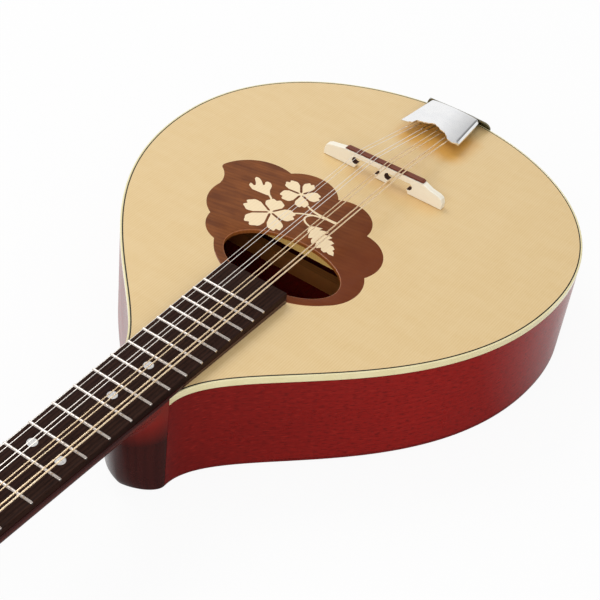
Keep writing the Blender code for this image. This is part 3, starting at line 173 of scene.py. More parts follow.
def add_to(bm, part, matrix=Matrix.Identity(4)):
    """Put a part, moved by a matrix, into a larger bmesh."""
    spare = bpy.data.meshes.new("spare")
    moved(part, matrix).to_mesh(spare)
    part.free()
    bm.from_mesh(spare)
    bpy.data.meshes.remove(spare)
    return bm


def boolean(target, tool, operation="DIFFERENCE"):
    """Cut or join two bmeshes with the exact solver and give back one."""
    things = []
    for bm in (target, tool):
        bmesh.ops.remove_doubles(bm, verts=bm.verts, dist=MERGE)
        bmesh.ops.recalc_face_normals(bm, faces=bm.faces)
        mesh = bpy.data.meshes.new("work")
        bm.to_mesh(mesh)
        bm.free()
        things.append(shown(bpy.data.objects.new("work", mesh)))
    step = things[0].modifiers.new("cut", "BOOLEAN")
    step.operation = operation
    step.solver = "EXACT"
    step.object = things[1]
    bpy.context.view_layer.update()
    view = bpy.context.evaluated_depsgraph_get()
    mesh = bpy.data.meshes.new_from_object(things[0].evaluated_get(view))
    result = bmesh.new()
    result.from_mesh(mesh)
    for thing in things:
        bpy.data.objects.remove(thing)
    return result


def eased(piece, width, segments=2, angle=30):
    """Ease every edge sharper than an angle, as sandpaper or a buffing wheel leaves it."""
    bevel = piece.modifiers.new("eased edges", "BEVEL")
    bevel.width = width
    bevel.segments = segments
    bevel.limit_method = "ANGLE"
    bevel.angle_limit = radians(angle)
    bevel.harden_normals = False
    return piece


def rounded(bm, parts, width, segments=3, affect="EDGES"):
    """A bevel cut into the mesh itself, on chosen edges or vertices."""
    bmesh.ops.bevel(bm, geom=parts, offset=width, segments=segments, profile=0.5, affect=affect, material=-1)


def softened(name, node, material, width, segments=2, waste=None):
    """A CAD node's shape with its triangles merged into clean faces and its edges eased."""
    bm = bmesh.new()
    bm.from_mesh(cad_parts[node].data)
    bmesh.ops.remove_doubles(bm, verts=bm.verts, dist=2e-6)
    bmesh.ops.dissolve_limit(bm, angle_limit=radians(1.5), verts=bm.verts, edges=bm.edges)
    if waste:
        bm = boolean(bm, waste)
    return eased(finish_piece(name, bm, material, "body", (node,)), width, segments)


print("helpers ready")

# %% [markdown]
# ## The camera
#
# The photograph looks across the body from the bass side of the neck, from 0.64 m up. The
# camera's place and turn were solved from straight edges that the real object must have: parallel
# frets, a fingerboard of known taper and a flat top. Its matrix is built from three angles, so
# the view can be read as compass direction, height and tilt.

# %% Place the camera
CAMERA_PLACE = Vector((0.35498, -0.70865, 0.63977))
CAMERA_COMPASS = radians(30.00892)
CAMERA_RISE = radians(40.87827)
CAMERA_ROLL = radians(7.85449)
CAMERA_LENS = 84.062
SENSOR_WIDTH = 36.0

away = Vector((sin(CAMERA_COMPASS) * cos(CAMERA_RISE),
               -cos(CAMERA_COMPASS) * cos(CAMERA_RISE), sin(CAMERA_RISE)))
level = Vector((0, 0, 1)).cross(away).normalized()
upward = away.cross(level)
right = level * cos(CAMERA_ROLL) + upward * sin(CAMERA_ROLL)
top = upward * cos(CAMERA_ROLL) - level * sin(CAMERA_ROLL)
lens = bpy.data.cameras.new("photo_view")
lens.sensor_width = SENSOR_WIDTH
lens.lens = CAMERA_LENS
camera = shown(bpy.data.objects.new("photo_view", lens))
camera.matrix_world = Matrix.Translation(CAMERA_PLACE) @ Matrix((right, top, away)).transposed().to_4x4()
bpy.context.scene.camera = camera
print("camera looks along", tuple(round(-c, 3) for c in away))

# %% [markdown]
# ## Materials
#
# Wood is one idea used many times: lines that run with the grain, finer fibres between them and
# short dark pores. It is made once as a node group, and each timber sets its own spacing and
# colours. A second group gives the faint unevenness that hands and polish leave on any surface.
# Both read coordinates in metres, so a grain line has its real width wherever the timber goes.

# %% Node helpers
def screen(red, green, blue):
    """A colour as it looks on a screen, 0 to 255, turned into the linear values of a shader."""
    values = []
    for part in (red, green, blue):
        part /= 255
        values.append(part / 12.92 if part <= 0.04045 else ((part + 0.055) / 1.055) ** 2.4)
    return (*values, 1.0)


def add_node(tree, kind, inputs=None, **settings):
    """A node with its settings; an input is a value or another node's output."""
    node = tree.nodes.new(kind)
    for name, value in settings.items():
        setattr(node, name, value)
    for name, value in (inputs or {}).items():
        if isinstance(value, bpy.types.NodeSocket):
            tree.links.new(value, node.inputs[name])
        else:
            node.inputs[name].default_value = value
    return node


def maths(tree, operation, *values):
    return add_node(tree, "ShaderNodeMath", dict(enumerate(values)), operation=operation).outputs[0]


def vector_maths(tree, operation, *values):
    return add_node(tree, "ShaderNodeVectorMath", dict(enumerate(values)), operation=operation).outputs


def stretched(tree, vector, scale):
    """A vector with its three parts scaled, so that a pattern is drawn out along one of them."""
    return add_node(tree, "ShaderNodeMapping", {"Vector": vector, "Scale": scale}).outputs[0]


def noise(tree, vector, scale=1.0, detail=3.0):
    return add_node(tree, "ShaderNodeTexNoise",
                    {"Vector": vector, "Scale": scale, "Detail": detail}).outputs[0]


def between(tree, value, low, high, start=0.0, end=1.0):
    """A value read between two marks and spread over a new range, held at its ends."""
    return add_node(tree, "ShaderNodeMapRange", {0: value, 1: low, 2: high, 3: start, 4: end}).outputs[0]


def patches(tree, vector, scale, detail, low, high):
    """A mask of noise that is drawn out along the axes and cut between two levels."""
    return between(tree, noise(tree, stretched(tree, vector, scale), 1.0, detail), low, high)


def axes_of(tree, vector):
    """The X, Y and Z of a vector as three sockets."""
    return add_node(tree, "ShaderNodeSeparateXYZ", {0: vector}).outputs


def blend_colours(tree, share, first, second):
    """Two colours mixed by a share; either may be a colour or a socket."""
    return add_node(tree, "ShaderNodeMix", {0: share, 6: first, 7: second}, data_type="RGBA").outputs[2]


def tinted(tree, colour, mask, share, tint):
    """A colour that goes part of the way to a tint wherever a mask is 1."""
    return blend_colours(tree, maths(tree, "MULTIPLY", mask, share), colour, tint)


def new_group(name, inputs, outputs):
    """An empty node group with float or vector inputs and float outputs."""
    group = bpy.data.node_groups.new(name, "ShaderNodeTree")
    for label, kind, value in inputs:
        socket = group.interface.new_socket(label, in_out="INPUT", socket_type=kind)
        if kind == "NodeSocketFloat":
            socket.default_value = value
    for label in outputs:
        group.interface.new_socket(label, in_out="OUTPUT", socket_type="NodeSocketFloat")
    return group, group.nodes.new("NodeGroupInput"), group.nodes.new("NodeGroupOutput")


# %% The grain group
def build_grain():
    """Timber whose fibres run along Y: year lines, fibres and pores as masks from 0 to 1."""
    group, source, target = new_group(
        "timber_grain",
        [("Vector", "NodeSocketVector", None), ("Spacing", "NodeSocketFloat", 0.0015),
         ("Wander", "NodeSocketFloat", 0.002), ("Line Width", "NodeSocketFloat", 3.0)],
        ["Lines", "Fibres", "Pores", "Figure"])
    vector = source.outputs["Vector"]
    across = axes_of(group, vector)[0]
    drift = maths(group, "SUBTRACT", noise(group, stretched(group, vector, (14, 3.0, 14)), 1.0, 2.0), 0.5)
    across = maths(group, "MULTIPLY_ADD", drift, source.outputs["Wander"], across)
    turns = maths(group, "DIVIDE", maths(group, "MULTIPLY", across, 2 * pi), source.outputs["Spacing"])
    wave = maths(group, "MULTIPLY_ADD", maths(group, "SINE", turns), 0.5, 0.5)
    group.links.new(maths(group, "POWER", wave, source.outputs["Line Width"]), target.inputs["Lines"])
    group.links.new(patches(group, vector, (2600, 55, 2600), 4.0, 0.32, 0.70), target.inputs["Fibres"])
    group.links.new(patches(group, vector, (3400, 190, 3400), 1.0, 0.60, 0.72), target.inputs["Pores"])
    group.links.new(patches(group, vector, (45, 130, 45), 3.0, 0.35, 0.68), target.inputs["Figure"])
    return group


def build_handling():
    """Faint clouding and fine dust that break up a polished surface."""
    group, source, target = new_group(
        "handling", [("Vector", "NodeSocketVector", None)], ["Clouds", "Dust"])
    vector = source.outputs["Vector"]
    group.links.new(between(group, noise(group, vector, 38.0, 5.0), 0.30, 0.72), target.inputs["Clouds"])
    group.links.new(between(group, noise(group, vector, 1900.0, 2.0), 0.62, 0.80), target.inputs["Dust"])
    return group


GRAIN = build_grain()
HANDLING = build_handling()
print("node groups:", GRAIN.name, HANDLING.name)


# %% A start for every material
def start_material(name, **sockets):
    """A material and its Principled shader, with plain values on the shader's own sockets."""
    material = bpy.data.materials.new(name)
    material.use_nodes = True
    tree = material.node_tree
    shader = tree.nodes["Principled BSDF"]
    for label, value in sockets.items():
        shader.inputs[label.replace("_", " ")].default_value = value
    return material, tree, shader


def object_place(tree):
    return tree.nodes.new("ShaderNodeTexCoord").outputs["Object"]


def handled(tree, shader, vector, roughness, spread):
    """Roughness that clouds a little over the surface; gives back the dust mask."""
    marks = add_node(tree, "ShaderNodeGroup", {"Vector": vector}, node_tree=HANDLING).outputs
    rough = between(tree, marks["Clouds"], 0.0, 1.0, roughness - spread, roughness + spread)
    tree.links.new(rough, shader.inputs["Roughness"])
    return marks["Dust"]


def bumped(tree, shader, height, distance, strength=1.0):
    bump = add_node(tree, "ShaderNodeBump",
                    {"Height": height, "Distance": distance, "Strength": strength})
    tree.links.new(bump.outputs[0], shader.inputs["Normal"])


# %% Timbers
def make_timber(name, base, line, fibre, spacing, wander, line_width, shares, roughness, spread=0.04,
                shine=0.25, coat=0.0, coat_roughness=0.1, turn=None, uv=None, pore=None,
                pore_depth=0.00002, finish=None):
    """A timber: base colour, year lines, fibres and pores, under oil or lacquer.

    shares says how strongly lines, fibres and pores colour it; turn is how its fibres are
    turned from Y; uv names a map that follows the piece instead of the object's own axes."""
    material, tree, shader = start_material(
        name, Coat_Weight=coat, Coat_Roughness=coat_roughness, Coat_IOR=1.5, Specular_IOR_Level=shine)
    vector = object_place(tree)
    if uv:
        vector = add_node(tree, "ShaderNodeUVMap", {}, uv_map=uv).outputs[0]
    if turn:
        vector = add_node(tree, "ShaderNodeMapping", {"Vector": vector, "Rotation": turn}).outputs[0]
    grain = add_node(tree, "ShaderNodeGroup", {"Vector": vector, "Spacing": spacing, "Wander": wander,
                                               "Line Width": line_width}, node_tree=GRAIN).outputs
    base, line, fibre, pore = (screen(*paint) for paint in (base, line, fibre, pore or line))
    lines, fibres, pores = shares
    colour = tinted(tree, base, grain["Lines"], lines, line)
    colour = tinted(tree, colour, grain["Fibres"], fibres, fibre)
    colour = tinted(tree, colour, grain["Pores"], pores, pore)
    if finish:
        colour = finish(tree, colour, grain, vector)
    tree.links.new(colour, shader.inputs["Base Color"])
    handled(tree, shader, vector, roughness, spread)
    bumped(tree, shader, maths(tree, "SUBTRACT", 1.0, grain["Pores"]), pore_depth, 0.6)
    return material


def near_box(tree, vector, centre, half, fade):
    """A mask that is 1 inside a flat box round a place and fades out over a distance."""
    parts = axes_of(tree, vector)
    outside = []
    for axis in (0, 1):
        offset = maths(tree, "ABSOLUTE", maths(tree, "SUBTRACT", parts[axis], centre[axis]))
        outside.append(maths(tree, "MAXIMUM", maths(tree, "SUBTRACT", offset, half[axis]), 0.0))
    reach = maths(tree, "SQRT", maths(tree, "ADD", maths(tree, "POWER", outside[0], 2.0),
                                      maths(tree, "POWER", outside[1], 2.0)))
    return add_node(tree, "ShaderNodeMapRange", {0: reach, 1: 0.0, 2: fade, 3: 1.0, 4: 0.0},
                    interpolation_type="SMOOTHSTEP").outputs[0]


# Painted shadow: amber shade painted on the spruce under the tailpiece cover and in front of the bridge.
COVER_SHADOW_PAINT = ((0.001, 0.069), (0.017, 0.010), 0.017)
BRIDGE_SHADOW_PAINT = ((0.010, -0.006), (0.030, 0.001), 0.012)
# Painted shade: the ribs and back go darker over this span towards the heel.
HEEL_SHADE_SPAN = (-0.14, -0.25)
# Painted shade: the rosewood plate goes darker and warmer over this span towards the bass side.
BASS_SIDE_SHADE = (-0.02, 0.04)


def silk_and_painted_shade(tree, colour, grain, vector):
    """Spruce's silk, and painted amber shadow under the cover and in front of the bridge, where they shade
    the top.
    """
    colour = tinted(tree, colour, grain["Figure"], 0.14, screen(246, 222, 176))
    # Painted shadow of the cover, in amber.
    cover_shadow = near_box(tree, vector, *COVER_SHADOW_PAINT)
    colour = tinted(tree, colour, cover_shadow, 0.72, screen(224, 158, 40))
    # Painted shadow of the bridge, on the spruce in front of it.
    bridge_shadow = near_box(tree, vector, *BRIDGE_SHADOW_PAINT)
    return tinted(tree, colour, bridge_shadow, 0.22, screen(224, 160, 74))


def stained_and_heel_shaded(tree, colour, grain, vector):
    """Stain that took unevenly: broad lighter clouds and flecks where long pores held it; and a
    painted shade that darkens the wood towards the heel."""
    forward = axes_of(tree, object_place(tree))[1]
    # Painted shade: the wood goes darker towards the heel.
    heel_shade = between(tree, forward, *HEEL_SHADE_SPAN)
    colour = tinted(tree, colour, heel_shade, 0.75, screen(96, 16, 13))
    broad = patches(tree, vector, (24, 9, 24), 3.0, 0.34, 0.68)
    colour = tinted(tree, colour, broad, 0.40, screen(146, 26, 22))
    fleck = patches(tree, vector, (1150, 210, 1150), 2.0, 0.52, 0.66)
    colour = tinted(tree, colour, fleck, 0.55, screen(84, 12, 12))
    light = patches(tree, vector, (980, 160, 980), 2.0, 0.56, 0.70)
    return tinted(tree, colour, light, 0.35, screen(170, 44, 34))


def streaked_and_side_shaded(tree, colour, grain, vector):
    """Broad dark bands of heartwood, and a darker, warmer zone towards the bass side that is painted shade.
    """
    bands = patches(tree, vector, (150, 34, 150), 4.0, 0.42, 0.66)
    colour = tinted(tree, colour, bands, 0.55, screen(84, 38, 16))
    glow = patches(tree, vector, (90, 60, 90), 3.0, 0.48, 0.70)
    colour = tinted(tree, colour, glow, 0.40, screen(150, 86, 40))
    # Painted shade: the plate goes darker and warmer towards the bass side.
    across = axes_of(tree, object_place(tree))[0]
    warm = between(tree, across, *BASS_SIDE_SHADE)
    return tinted(tree, colour, warm, 0.80, screen(106, 42, 3))


SPRUCE = make_timber("spruce_top", (234, 204, 149), (208, 164, 98), (222, 188, 126),
                     0.0016, 0.004, 2.2, (0.27, 0.36, 0.12), 0.36, 0.05, 0.4, coat=0.35,
                     coat_roughness=0.18, finish=silk_and_painted_shade)
MAPLE_BRIDGE = make_timber("pale_maple", (255, 250, 234), (240, 218, 184), (250, 234, 208),
                           0.0028, 0.004, 2.0, (0.20, 0.25, 0.15), 0.42, turn=(0, 0, radians(90)))
MAPLE_INLAY = make_timber("maple_inlay", (252, 230, 190), (236, 204, 156), (244, 216, 174),
                          0.0022, 0.003, 2.0, (0.22, 0.28, 0.15), 0.36, coat=0.15, coat_roughness=0.15)
ROSEWOOD = make_timber("rosewood_plate", (135, 77, 36), (94, 48, 20), (112, 60, 27),
                       0.0034, 0.030, 2.0, (0.40, 0.50, 0.45), 0.40, shine=0.10, coat=0.05,
                       coat_roughness=0.20, turn=(0, 0, radians(78)), pore=(64, 30, 14), finish=streaked_and_side_shaded)
# Orange-brown for the hole's wall; on the plate's rounded rim it is a painted highlight.
HOLE_EDGE_WITH_RIM_HIGHLIGHT = make_timber("hole_edge_with_rim_highlight", (172, 100, 46), (128, 64, 26), (150, 84, 38),
                           0.0016, 0.002, 2.0, (0.35, 0.45, 0.40), 0.30, shine=0.5, coat=0.4)
SADDLE_WOOD = make_timber("rosewood_saddle", (124, 62, 40), (78, 34, 24), (100, 48, 32),
                          0.0022, 0.003, 2.0, (0.4, 0.5, 0.5), 0.42, turn=(0, 0, radians(90)))
RED_SIDES = make_timber("red_stained_sides", (156, 28, 23), (118, 17, 15), (130, 20, 17),
                        0.0042, 0.010, 2.0, (0.25, 0.40, 0.35), 0.30, shine=0.12, coat=0.30,
                        coat_roughness=0.16, uv="rib", pore=(70, 9, 10), finish=stained_and_heel_shaded)
RED_BACK = make_timber("red_stained_back", (124, 18, 17), (92, 12, 12), (104, 14, 13),
                       0.0050, 0.016, 2.0, (0.30, 0.40, 0.35), 0.30, shine=0.15, coat=0.35,
                       coat_roughness=0.10, pore=(70, 9, 10), finish=stained_and_heel_shaded)
SOFTWOOD = make_timber("inner_softwood", (216, 140, 70), (164, 94, 40), (190, 116, 54),
                       0.0020, 0.004, 2.0, (0.35, 0.35, 0.2), 0.75, turn=(0, 0, radians(90)))
RING_SPRUCE = make_timber("hole_ring_spruce", (242, 200, 116), (214, 162, 80), (228, 182, 98),
                          0.0016, 0.003, 2.2, (0.30, 0.30, 0.10), 0.55)
HEAD_WOOD = make_timber("dark_veneer", (52, 34, 30), (30, 19, 17), (40, 26, 23),
                        0.0024, 0.004, 2.0, (0.4, 0.5, 0.5), 0.30, coat=0.3, coat_roughness=0.12)
print("timbers:", sum(1 for m in bpy.data.materials if m.use_nodes))

# %% [markdown]
# The neck is one timber in two moods. The heel's shoulder shows the same red stain as the sides,
# and the shaft and the heel's foot go to a dark red-brown. Masks along Y and Z carry one into the
# other, so that no line of paint shows. A lighter band along the neck's flank under the board is a
# painted highlight, and a small dark oval in the corner under the board is a painted shadow.

# %% Neck, fingerboard and heel colours
HEEL_Y = -0.26192
# Painted shadow: a dark oval in the corner under the board, where the neck's underside meets the heel.
POCKET_SHADOW = Vector((0.0, -0.3015, 0.0652))
POCKET_SHADOW_SIZE = Vector((1.0, 0.0056, 0.0026))
DARK_TO_RED = (-0.302, -0.276)
HEEL_TO_RED = (0.042, 0.060)
BOARD_TO_TONGUE = (0.0745, 0.0725)
# Painted highlight: a lighter band along the neck's flank just under the board.
FLANK_HIGHLIGHT_RISE = (0.058, 0.068)


def neck_stain_and_painted_light(tree, colour, grain, vector):
    """Dark shaft, red shoulder of the heel, a painted highlight along the flank and a painted shadow
    in the corner under the board: ragged masks along, above and below it.
    """
    parts = axes_of(tree, vector)
    ragged = maths(tree, "MULTIPLY_ADD", grain["Figure"], 0.006, parts[1])
    along = between(tree, ragged, *DARK_TO_RED)
    low = between(tree, parts[2], *HEEL_TO_RED)
    tongue_end = between(tree, parts[2], *BOARD_TO_TONGUE)
    red = maths(tree, "MULTIPLY", maths(tree, "MULTIPLY", along, low), tongue_end)
    colour = tinted(tree, colour, red, 0.90, screen(136, 32, 25))
    # Painted highlight: a lighter band along the flank just under the board.
    flank = maths(tree, "MULTIPLY", between(tree, parts[2], *FLANK_HIGHLIGHT_RISE), tongue_end)
    colour = tinted(tree, colour, flank, 0.35, screen(120, 50, 36))
    # Painted shadow: a dark oval in the corner where the neck's underside meets the heel.
    scaled = vector_maths(tree, "DIVIDE", vector_maths(tree, "SUBTRACT", vector, POCKET_SHADOW)[0], POCKET_SHADOW_SIZE)[0]
    reach = vector_maths(tree, "LENGTH", scaled)["Value"]
    dark = between(tree, reach, 1.15, 0.85)
    return tinted(tree, colour, dark, 0.75, screen(44, 18, 15))


NECK_WOOD = make_timber("red_brown_neck", (66, 24, 20), (42, 14, 13), (52, 18, 16),
                        0.0040, 0.008, 2.0, (0.35, 0.45, 0.40), 0.26, shine=0.15, coat=0.45,
                        coat_roughness=0.14, pore=(30, 11, 10), finish=neck_stain_and_painted_light)
BOARD_WOOD = make_timber("dark_fingerboard", (60, 38, 29), (24, 14, 12), (34, 20, 17),
                         0.0026, 0.004, 2.0, (0.60, 0.75, 0.80), 0.50, 0.06, 0.04, pore=(10, 7, 7),
                         pore_depth=0.00005)
print("neck colours fade between y =", *DARK_TO_RED)


# %% Plastics, bone, lacquer lines
def make_smooth(name, base, second, roughness, scale=60.0, **sockets):
    """A dense material that clouds gently between two colours."""
    material, tree, shader = start_material(name, **sockets)
    vector = object_place(tree)
    base, second = screen(*base), screen(*second)
    clouds = between(tree, noise(tree, vector, scale, 4.0), 0.35, 0.65)
    colour = tinted(tree, base, clouds, 0.4, second)
    dust = handled(tree, shader, vector, roughness, 0.03)
    colour = tinted(tree, colour, dust, 0.15, second)
    tree.links.new(colour, shader.inputs["Base Color"])
    bumped(tree, shader, noise(tree, vector, 900.0, 2.0), 0.00001, 0.4)
    return material


CREAM = make_smooth("cream_binding", (243, 232, 184), (232, 216, 158), 0.28,
                    Coat_Weight=0.6, Coat_Roughness=0.1)
BLACK_LINE = make_smooth("black_purfling", (30, 29, 22), (20, 18, 14), 0.50,
                         Coat_Weight=0.1, Coat_Roughness=0.2, Specular_IOR_Level=0.2)
BONE = make_smooth("bone_nut", (240, 234, 216), (222, 210, 182), 0.35, scale=220.0)
BUTTON = make_smooth("cream_button", (240, 230, 202), (218, 200, 160), 0.22, scale=90.0,
                     Coat_Weight=0.5, Coat_Roughness=0.06)
ROD = make_smooth("reinforcing_rod", (44, 44, 46), (28, 28, 30), 0.5, scale=400.0)
EBONY = make_smooth("black_end_pin", (34, 30, 29), (20, 18, 18), 0.30, scale=300.0)


# %% Pearl dots
def make_pearl():
    """Mother of pearl: pale layers that shift between cool and warm, under a clear polish."""
    material, tree, shader = start_material("pearl_dot", Coat_Weight=0.6, Coat_Roughness=0.08)
    vector = object_place(tree)
    layers = patches(tree, vector, (420, 900, 420), 3.0, 0.35, 0.65)
    cool = blend_colours(tree, layers, screen(196, 196, 198), screen(232, 230, 226))
    warm = between(tree, noise(tree, vector, 700.0, 2.0), 0.5, 0.75)
    colour = tinted(tree, cool, warm, 0.5, screen(226, 214, 204))
    tree.links.new(colour, shader.inputs["Base Color"])
    handled(tree, shader, vector, 0.24, 0.04)
    return material


PEARL = make_pearl()


# %% Metals
def make_metal(name, base, worn, roughness, spread, winding=None, brushed=0.0):
    """A metal with cloudy polish, and either brushing marks or the turns of a wound string, whose grooves are
    painted darker as shade.
    """
    material, tree, shader = start_material(name, Metallic=1.0)
    vector = object_place(tree)
    base, worn = screen(*base), screen(*worn)
    clouds = between(tree, noise(tree, vector, 160.0, 4.0), 0.35, 0.70)
    colour = tinted(tree, base, clouds, 0.5, worn)
    if winding:
        along = axes_of(tree, vector)[1]
        turns = maths(tree, "SINE", maths(tree, "MULTIPLY", along, 2 * pi / winding))
        groove_and_shade = between(tree, turns, -1.0, -0.2)
        # Painted shade: the grooves between the winding's turns are coloured darker.
        colour = blend_colours(tree, groove_and_shade, screen(226, 186, 138), colour)
        bumped(tree, shader, groove_and_shade, 0.00008)
    else:
        fine = noise(tree, stretched(tree, vector, (300, 4200, 300)), 1.0, 3.0)
        bumped(tree, shader, fine, 0.000004 + 0.00002 * brushed, 0.5)
    tree.links.new(colour, shader.inputs["Base Color"])
    handled(tree, shader, vector, roughness, spread)
    return material


NICKEL = make_metal("polished_steel", (243, 243, 243), (230, 231, 234), 0.14, 0.05)
FRET_METAL = make_metal("fret_nickel", (206, 196, 188), (184, 174, 166), 0.24, 0.06, brushed=1.0)
BRACKET_METAL = make_metal("bracket_steel", (128, 122, 98), (92, 86, 66), 0.20, 0.05)
PLAIN_WIRE = make_metal("plain_string", (242, 236, 228), (222, 212, 202), 0.30, 0.04)
BRONZE_WIRE = make_metal("bronze_string", (255, 236, 204), (250, 218, 174), 0.34, 0.05,
                         winding=0.00026)
BRASS = make_metal("gear_brass", (214, 182, 112), (184, 150, 86), 0.26, 0.06, brushed=1.0)
print("materials so far:", len(bpy.data.materials))

# %% [markdown]
# ## The outline of the body
#
# A bent rib takes a fair curve, so the body's edge is two Bezier quarters a side: one from the
# tail to the widest place, one from there to the heel. A luthier would draw the same thing with a
# bent batten. Many short steps keep the silhouette smooth in a close view, where the packed
# model's longer facets would show.

# %% Body outline
BODY_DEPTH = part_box("soundboard")[1].z
BACK_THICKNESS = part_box("back")[1].z
BODY_HALF_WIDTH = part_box("back")[1].x
TAIL_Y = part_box("back")[1].y
WIDEST_Y = -0.0316
HEEL_HALF_WIDTH = 0.022
TAIL_HANDLE = 0.0653
BOUT_HANDLE = 0.0971
FLANK_HANDLE = 0.1325
HEEL_HANDLE = 0.0496
HEEL_HANDLE_ANGLE = radians(93.4)
QUARTER_STEPS = 72

tail_quarter = interpolate_bezier((0, TAIL_Y, 0), (TAIL_HANDLE, TAIL_Y, 0),
                                  (BODY_HALF_WIDTH, WIDEST_Y + BOUT_HANDLE, 0),
                                  (BODY_HALF_WIDTH, WIDEST_Y, 0), QUARTER_STEPS)
flank_quarter = interpolate_bezier((BODY_HALF_WIDTH, WIDEST_Y, 0),
                                   (BODY_HALF_WIDTH, WIDEST_Y - FLANK_HANDLE, 0),
                                   (HEEL_HALF_WIDTH + HEEL_HANDLE * cos(HEEL_HANDLE_ANGLE),
                                    HEEL_Y + HEEL_HANDLE * sin(HEEL_HANDLE_ANGLE), 0),
                                   (HEEL_HALF_WIDTH, HEEL_Y, 0), QUARTER_STEPS)
half_outline = [(p.x, p.y) for p in tail_quarter + flank_quarter[1:]]
body_outline = half_outline[::-1] + [(-x, y) for x, y in half_outline[1:]]
print("outline points:", len(body_outline))


# %% [markdown]
# ## Top edge: binding, purfling and soundboard from one sheet
#
# A maker glues the soundboard on, routs a ledge round it, and lets in a strip of cream binding
# with a thin black line inside it. The same order works here. One face of the whole outline is
# inset twice, which leaves two narrow rings and the soundboard, and each is then raised from its
# own faces, so the three always meet.

# %% Rings of the top
BINDING_WIDTH = 0.0013
LINE_WIDTH = 0.0007
BINDING_HEIGHT = 0.005
SOUNDBOARD_THICKNESS = 0.003


def top_rings():
    """Faces of the binding, the black line and the board, marked 0, 1 and 2 by material index."""
    bm = flat_sheet(body_outline, BODY_DEPTH)
    sheet = bm.faces[:][0]
    sheet.normal_update()
    for mark, width in ((0, BINDING_WIDTH), (1, LINE_WIDTH)):
        ring = bmesh.ops.inset_region(bm, faces=[sheet], thickness=width, use_even_offset=True,
                                      use_boundary=True)["faces"]
        for face in ring:
            face.material_index = mark
    sheet.material_index = 2
    return bm


def ring_solid(mark, depth):
    """One ring or the board alone, extruded down from the top surface."""
    bm = top_rings()
    bmesh.ops.delete(bm, geom=[f for f in bm.faces if f.material_index != mark], context="FACES")
    thicken(bm, -depth)
    for face in bm.faces:
        face.material_index = 0
    return bm


binding = finish_piece("edge_binding", ring_solid(0, BINDING_HEIGHT), CREAM, replaces=("binding",))
eased(binding, 0.0004)
line = finish_piece("edge_purfling", ring_solid(1, SOUNDBOARD_THICKNESS), BLACK_LINE,
                    replaces=("purfling",))
print("binding and line:", len(binding.data.polygons), len(line.data.polygons), "faces")

# %% [markdown]
# ## Sound hole and its flowered plate
#
# The oval hole sits at one side of a cloud-shaped rosewood plate, let in flush with the spruce.
# The plate's edge is a chain of round arcs, each through three points, as it would be cut round
# a template. The hole is a circle scaled to an oval. Booleans cut the pocket and the hole,
# because the real ones are cut too.

# %% Plate outline
HOLE_CENTRE = Vector((-0.0012, -0.1216))
HOLE_HALF_LENGTH = 0.0419
HOLE_HALF_WIDTH = 0.0259
HOLE_STEPS = 96
PLATE_THICKNESS = 0.0015
PLATE_ARC_STEPS = 18
PLATE_START = (-0.0930, -0.0607)
PLATE_ARCS = (
    ((-0.0525, -0.0388), (-0.0785, -0.0422)),
    ((-0.0115, -0.0412), (-0.0330, -0.0296)),
    ((0.0245, -0.0608), (0.0115, -0.0399)),
    ((0.0467, -0.0980), (0.0445, -0.0720)),
    ((0.0430, -0.1365), (0.0524, -0.1175)),
    ((0.0225, -0.1505), (0.0335, -0.1448)),
    ((-0.0310, -0.1475), (-0.0040, -0.1570)),
    ((-0.0485, -0.1305), (-0.0410, -0.1400)),
    ((-0.0670, -0.1107), (-0.0615, -0.1229)),
    ((-0.0820, -0.0810), (-0.0785, -0.0997)),
    ((-0.0915, -0.0655), (-0.0860, -0.0707)),
    ((-0.0930, -0.0607), (-0.0931, -0.0632)),
)


def arc_through(start, middle, end, steps):
    """Points of the round arc through three points, without the last one."""
    a, b, c = Vector(start), Vector(middle), Vector(end)
    across, along = b - a, c - a
    turn = 2 * across.cross(along)
    centre = a + Vector((along.y * across.length_squared - across.y * along.length_squared,
                         across.x * along.length_squared - along.x * across.length_squared)) / turn
    first = atan2(a.y - centre.y, a.x - centre.x)
    sweep = (atan2(c.y - centre.y, c.x - centre.x) - first) % (2 * pi)
    if turn < 0:
        sweep -= 2 * pi
    radius = (a - centre).length
    return [(centre.x + radius * cos(first + sweep * i / steps),
             centre.y + radius * sin(first + sweep * i / steps)) for i in range(steps)]


def plate_outline():
    points, start = [], PLATE_START
    for end, middle in PLATE_ARCS:
        points += arc_through(start, middle, end, PLATE_ARC_STEPS)
        start = end
    return points


def oval(margin=0.0):
    """The hole's outline, grown by a margin."""
    return [(HOLE_CENTRE.x + (HOLE_HALF_LENGTH + margin) * cos(2 * pi * i / HOLE_STEPS),
             HOLE_CENTRE.y + (HOLE_HALF_WIDTH + margin) * sin(2 * pi * i / HOLE_STEPS))
            for i in range(HOLE_STEPS)]


plate_points = plate_outline()
print("plate points:", len(plate_points))

# %% Soundboard and plate
OVER = 0.002
BOARD_HOLE_SETBACK = 0.0002
HOLE_EASE = 0.00045
RIM_REACH = 0.043


def from_hole(point):
    return (Vector(point[:2]) - HOLE_CENTRE).length


def colour_hole_edge_and_rim(piece, steepness, reach):
    """Give the faces that stand in the hole, and the plate's rounded rim, an orange-brown wood: darker than
    the spruce on the board's wall, and lighter and shinier than the rosewood on the rim, where it is a
    painted highlight.
    """
    piece.data.materials.append(HOLE_EDGE_WITH_RIM_HIGHLIGHT)
    for face in piece.data.polygons:
        if abs(face.normal.z) < steepness and from_hole(face.center) < HOLE_HALF_LENGTH * reach:
            face.material_index = 1


